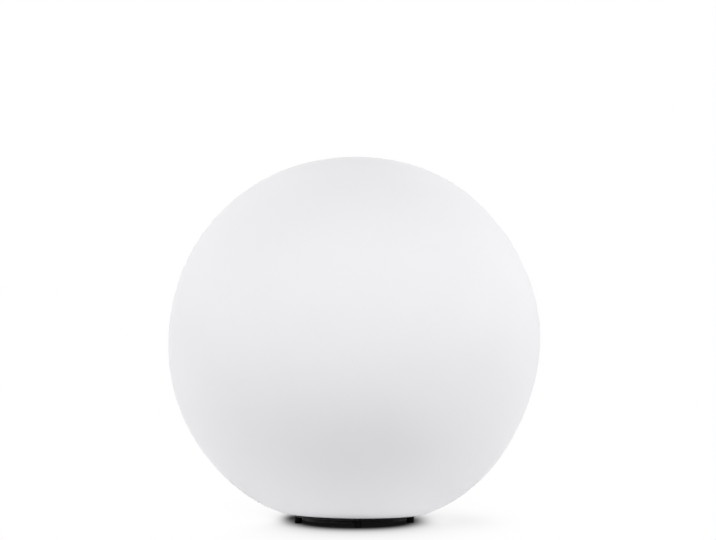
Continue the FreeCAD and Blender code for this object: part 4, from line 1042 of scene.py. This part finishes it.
@dataclass
class Studio:
    """White floor with a painted contact shadow, soft lamps, white world and the camera.

    Attributes:
        distance: Camera to globe, level.
        sensor: Width of the camera's sensor in millimetres.
        picture_width: Width of the picture in pixels.
        pixels_per_metre: Scale of that picture at the globe's centre.
        axis_across, axis_down: Pixels from the picture's middle to the globe's centre.
        shade_centre: Middle of the painted contact shadow on the floor.
        shade_radius: Radius of its dark core, left to right; it is shade_depth times that in depth.
        shade_soft: How far the core's own edge is softened.
        shade_fade, shade_depth_fade, shade_power: How it fades to white past the core: the length
            of the fade at the sides, how many times more it grows towards front and back, and its
            power.
        shade_core: Share of white in the painted shadow's core.
        painted_shades: Painted shadows, a faint wide one on the right and a dark narrow one on the
            left.
        floor_radius: Radius of the floor; floor_steps is its number of steps round.
        floor_lit: The floor's albedo for the light that it throws back.
        floor_seen_painted_dark: Its albedo to the camera, far below floor_lit: painted shade inside
            the shadow.
        glow_strength: Strength of the light that the floor throws up round the base.
        glow_ring: Radius of the ring that throws it; glow_width is how far to both sides it fades.
    """

    distance: float = 3.25
    sensor: float = 36.0
    picture_width: float = 716.0
    pixels_per_metre: float = 930.0
    axis_across: float = -3.6
    axis_down: float = 71.75
    # Painted shadow: these shape a mask that holds the floor's white back round the base.
    shade_centre: Point = (1.1 * MM, 30.5 * MM)
    shade_radius: float = 78.6 * MM
    shade_depth: float = 1.475
    shade_soft: float = 19.7 * MM
    shade_fade: float = 2.76 * MM
    shade_depth_fade: float = 5.24
    shade_power: float = 0.667
    shade_core: float = 0.006
    # Painted shadows on the floor beside the base.
    painted_shades: tuple[PaintedShade, ...] = (
        PaintedShade(0.112, (114.7 * MM, 26.4 * MM), (37.2 * MM, 106.0 * MM)),
        PaintedShade(0.950, (-67.1 * MM, 67.1 * MM), (10.5 * MM, 58.1 * MM)),
    )
    floor_radius: float = 9.0
    floor_steps: int = 64
    floor_lit: float = 0.9
    floor_seen_painted_dark: float = 0.03
    glow_strength: float = 0.373
    glow_ring: float = 0.096
    glow_width: float = 0.030
    softboxes: tuple[Softbox, ...] = (
        Softbox("top_back_softbox", (0.0, 1.9, 2.4), 2.0, 1.4, 16.8),
        Softbox("key_left", (-0.9, -1.7, 2.4), 1.2, 1.2, 30.0),
        Softbox("key_right", (0.9, -1.7, 2.4), 1.2, 1.2, 33.5),
        Softbox("left_strip", (-2.4, -0.9, 0.30), 1.2, 0.7, 20.8),
        Softbox("right_strip", (2.4, -0.9, 0.30), 1.2, 0.7, 21.2),
        Softbox("left_back_softbox", (-2.2, 1.8, 0.9), 1.4, 1.4, 19.3),
        Softbox("right_back_softbox", (2.2, 1.8, 0.9), 1.4, 1.4, 18.9),
    )

    def camera(self, centre: Vector) -> None:
        """Makes a level camera on the front.

        Args:
            centre: The globe's centre, which falls where the photograph shows it.
        """
        data = bpy.data.cameras.new("camera")
        data.sensor_width = self.sensor
        data.lens = self.sensor * self.pixels_per_metre * self.distance / self.picture_width
        camera = bpy.data.objects.new("camera", data)
        camera.location = (
            centre.x - self.axis_across / self.pixels_per_metre,
            centre.y - self.distance,
            centre.z + self.axis_down / self.pixels_per_metre)
        camera.rotation_euler = (math.pi / 2.0, 0.0, 0.0)
        bpy.context.scene.collection.objects.link(camera)
        bpy.context.scene.camera = camera

    def world(self) -> None:
        """Makes it white to the camera and in reflections. It gives no other light."""
        world = bpy.data.worlds.new("studio")
        world.use_nodes = True
        bpy.context.scene.world = world
        graph = Graph(world.node_tree)
        light = graph.node("Background", Color=WHITE, Strength=self._seen_directly(graph))
        graph.node("OutputWorld", Surface=light.outputs[0])

    @staticmethod
    def _seen_directly(graph: Graph) -> Socket:
        """Picks out the rays that see a thing straight, mirrored or through glass.

        Args:
            graph: The graph that asks.

        Returns:
            1 for camera, glossy and transmission rays, otherwise 0.
        """
        path = graph.node("LightPath")
        first = graph.math("MAXIMUM", path.outputs["Is Camera Ray"], path.outputs["Is Glossy Ray"])
        return graph.math("MAXIMUM", first, path.outputs["Is Transmission Ray"])

    def _white_share(self, graph: Graph) -> Socket:
        """Share of white that the floor shows, which paints a dark contact shadow round the base.

        It is core + (1 - core) * (1 - exp(-t ^ power)), where t is how far a point lies past the
        dark core, in lengths of the fade. Each painted shade multiplies it by 1 - strength * exp(-d
        ^ 2), where d is the distance from the shade's middle, in its sizes.

        Args:
            graph: The floor's graph.

        Returns:
            The share, from 0 to 1.
        """
        away, place = self._distance(graph, self.shade_centre, (1.0, self.shade_depth))
        split = graph.node("SeparateXYZ", Vector=place)
        slope = graph.math("POWER", graph.math("DIVIDE", split.outputs["Y"], away), 2.0)
        growth = self.shade_fade * self.shade_depth_fade
        length = graph.math("MULTIPLY_ADD", slope, growth, self.shade_fade)
        outside = graph.math("SUBTRACT", away, self.shade_radius)
        past = graph.math("SMOOTH_MAX", outside, 0.0, self.shade_soft)
        share = graph.math("POWER", graph.math("DIVIDE", past, length), self.shade_power)
        left = graph.math("EXPONENT", graph.math("MULTIPLY", share, -1.0))
        white = graph.math("MULTIPLY_ADD", left, self.shade_core - 1.0, 1.0)
        # Each painted shade darkens the floor's white further.
        for shade in self.painted_shades:
            aside, _ = self._distance(graph, shade.centre, shade.size)
            square = graph.math("POWER", aside, 2.0)
            bell = graph.math("EXPONENT", graph.math("MULTIPLY", square, -1.0))
            clean = graph.math("MULTIPLY_ADD", bell, -shade.strength, 1.0)
            white = graph.math("MULTIPLY", white, clean)
        return white

    def _glow(self, graph: Graph) -> Socket:
        """The ring of floor that throws light up on the globe's underside.

        Args:
            graph: The floor's graph.

        Returns:
            Its strength, which eases out to 0 on both sides of the ring.
        """
        radius, _ = self._distance(graph, (0.0, 0.0), (1.0, 1.0))
        off = graph.math("ABSOLUTE", graph.math("SUBTRACT", radius, self.glow_ring))
        ring = graph.node("MapRange", interpolation_type="SMOOTHSTEP", From_Min=0.0,
                          From_Max=self.glow_width, To_Min=self.glow_strength, To_Max=0.0,
                          Value=off)
        return ring.outputs[0]

    def floor_material(self) -> bpy.types.Material:
        """White floor with a painted contact shadow, which goes to pure white away from the base.

        The diffuse part takes the lamps' light and shadow. Towards the camera and in reflections
        it is mixed with white by the white share, which paints the contact shadow. The ring's
        light is hidden from the camera.
        From below the floor is clear.

        Returns:
            The new material.
        """
        material = bpy.data.materials.new("studio_floor")
        material.use_nodes = True
        graph = Graph(material.node_tree)
        camera_ray = graph.node("LightPath").outputs["Is Camera Ray"]
        hidden = graph.math("SUBTRACT", 1.0, camera_ray)
        # Painted shade: the camera sees the floor far darker than the light it throws back.
        gain = self.floor_lit - self.floor_seen_painted_dark
        grey = graph.math("MULTIPLY_ADD", hidden, gain, self.floor_seen_painted_dark)
        shader = graph.node("BsdfDiffuse", Color=grey)
        strength = graph.math("MULTIPLY", self._glow(graph), hidden)
        glow = graph.node("Emission", Color=WHITE, Strength=strength)
        lit = graph.node("AddShader")
        for socket, part in zip(lit.inputs, (shader, glow)):
            graph.link(part.outputs[0], socket)
        white = graph.node("Emission", Color=WHITE, Strength=1.0)
        # Painted shadow: the white share leaves the floor dark round the base.
        seen = graph.math("MULTIPLY", self._seen_directly(graph), self._white_share(graph))
        top = graph.mix(seen, lit, white)
        behind = graph.node("NewGeometry").outputs["Backfacing"]
        both = graph.mix(behind, top, graph.node("BsdfTransparent"))
        graph.node("OutputMaterial", Surface=both.outputs[0])
        return material

    @staticmethod
    def _distance(graph: Graph, centre: Point, size: Point) -> tuple[Socket, Socket]:
        """Measures how far a point of the floor lies from a centre.

        Args:
            graph: The floor's graph.
            centre: The centre.
            size: What one unit of distance is along X and Y.

        Returns:
            The distance, and the place that it is the length of.
        """
        place = graph.node("Mapping", vector_type="TEXTURE",
                           Vector=graph.node("TexCoord").outputs["Object"])
        place.inputs["Location"].default_value = (*centre, 0.0)
        place.inputs["Scale"].default_value = (*size, 1.0)
        length = graph.node("VectorMath", operation="LENGTH", Vector=place.outputs[0])
        return length.outputs["Value"], place.outputs[0]

    def floor(self) -> None:
        """Makes a round white floor under the feet."""
        rings = line((0.0, 0.0), (self.floor_radius, 0.0), count=3)
        sheet = surface("studio_floor", [turn(rings, self.floor_steps)[::-1]])
        sheet.data.materials.append(self.floor_material())

    def build(self) -> None:
        """Makes the floor, the world, the lamps and the camera."""
        low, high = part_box("globe_shell")
        centre = Vector(((low[0] + high[0]) / 2.0, (low[1] + high[1]) / 2.0,
                         high[2] - (high[0] - low[0]) / 2.0))
        self.camera(centre)
        self.world()
        self.floor()
        for softbox in self.softboxes:
            softbox.build(centre)
        bpy.context.scene.view_settings.view_transform = "Standard"
        LOG.info("studio: %d softboxes", len(self.softboxes))


def main() -> None:
    """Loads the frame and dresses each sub-assembly in order."""
    logging.basicConfig(level=logging.INFO, format="%(name)s: %(message)s")
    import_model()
    Studio().build()
    for assembly in (Globe(), Base(), GLAND, BRACKET, LAMPHOLDER, BULB, BULB_SEAL, WIRING):
        assembly.build()


if __name__ == "__main__":
    main()
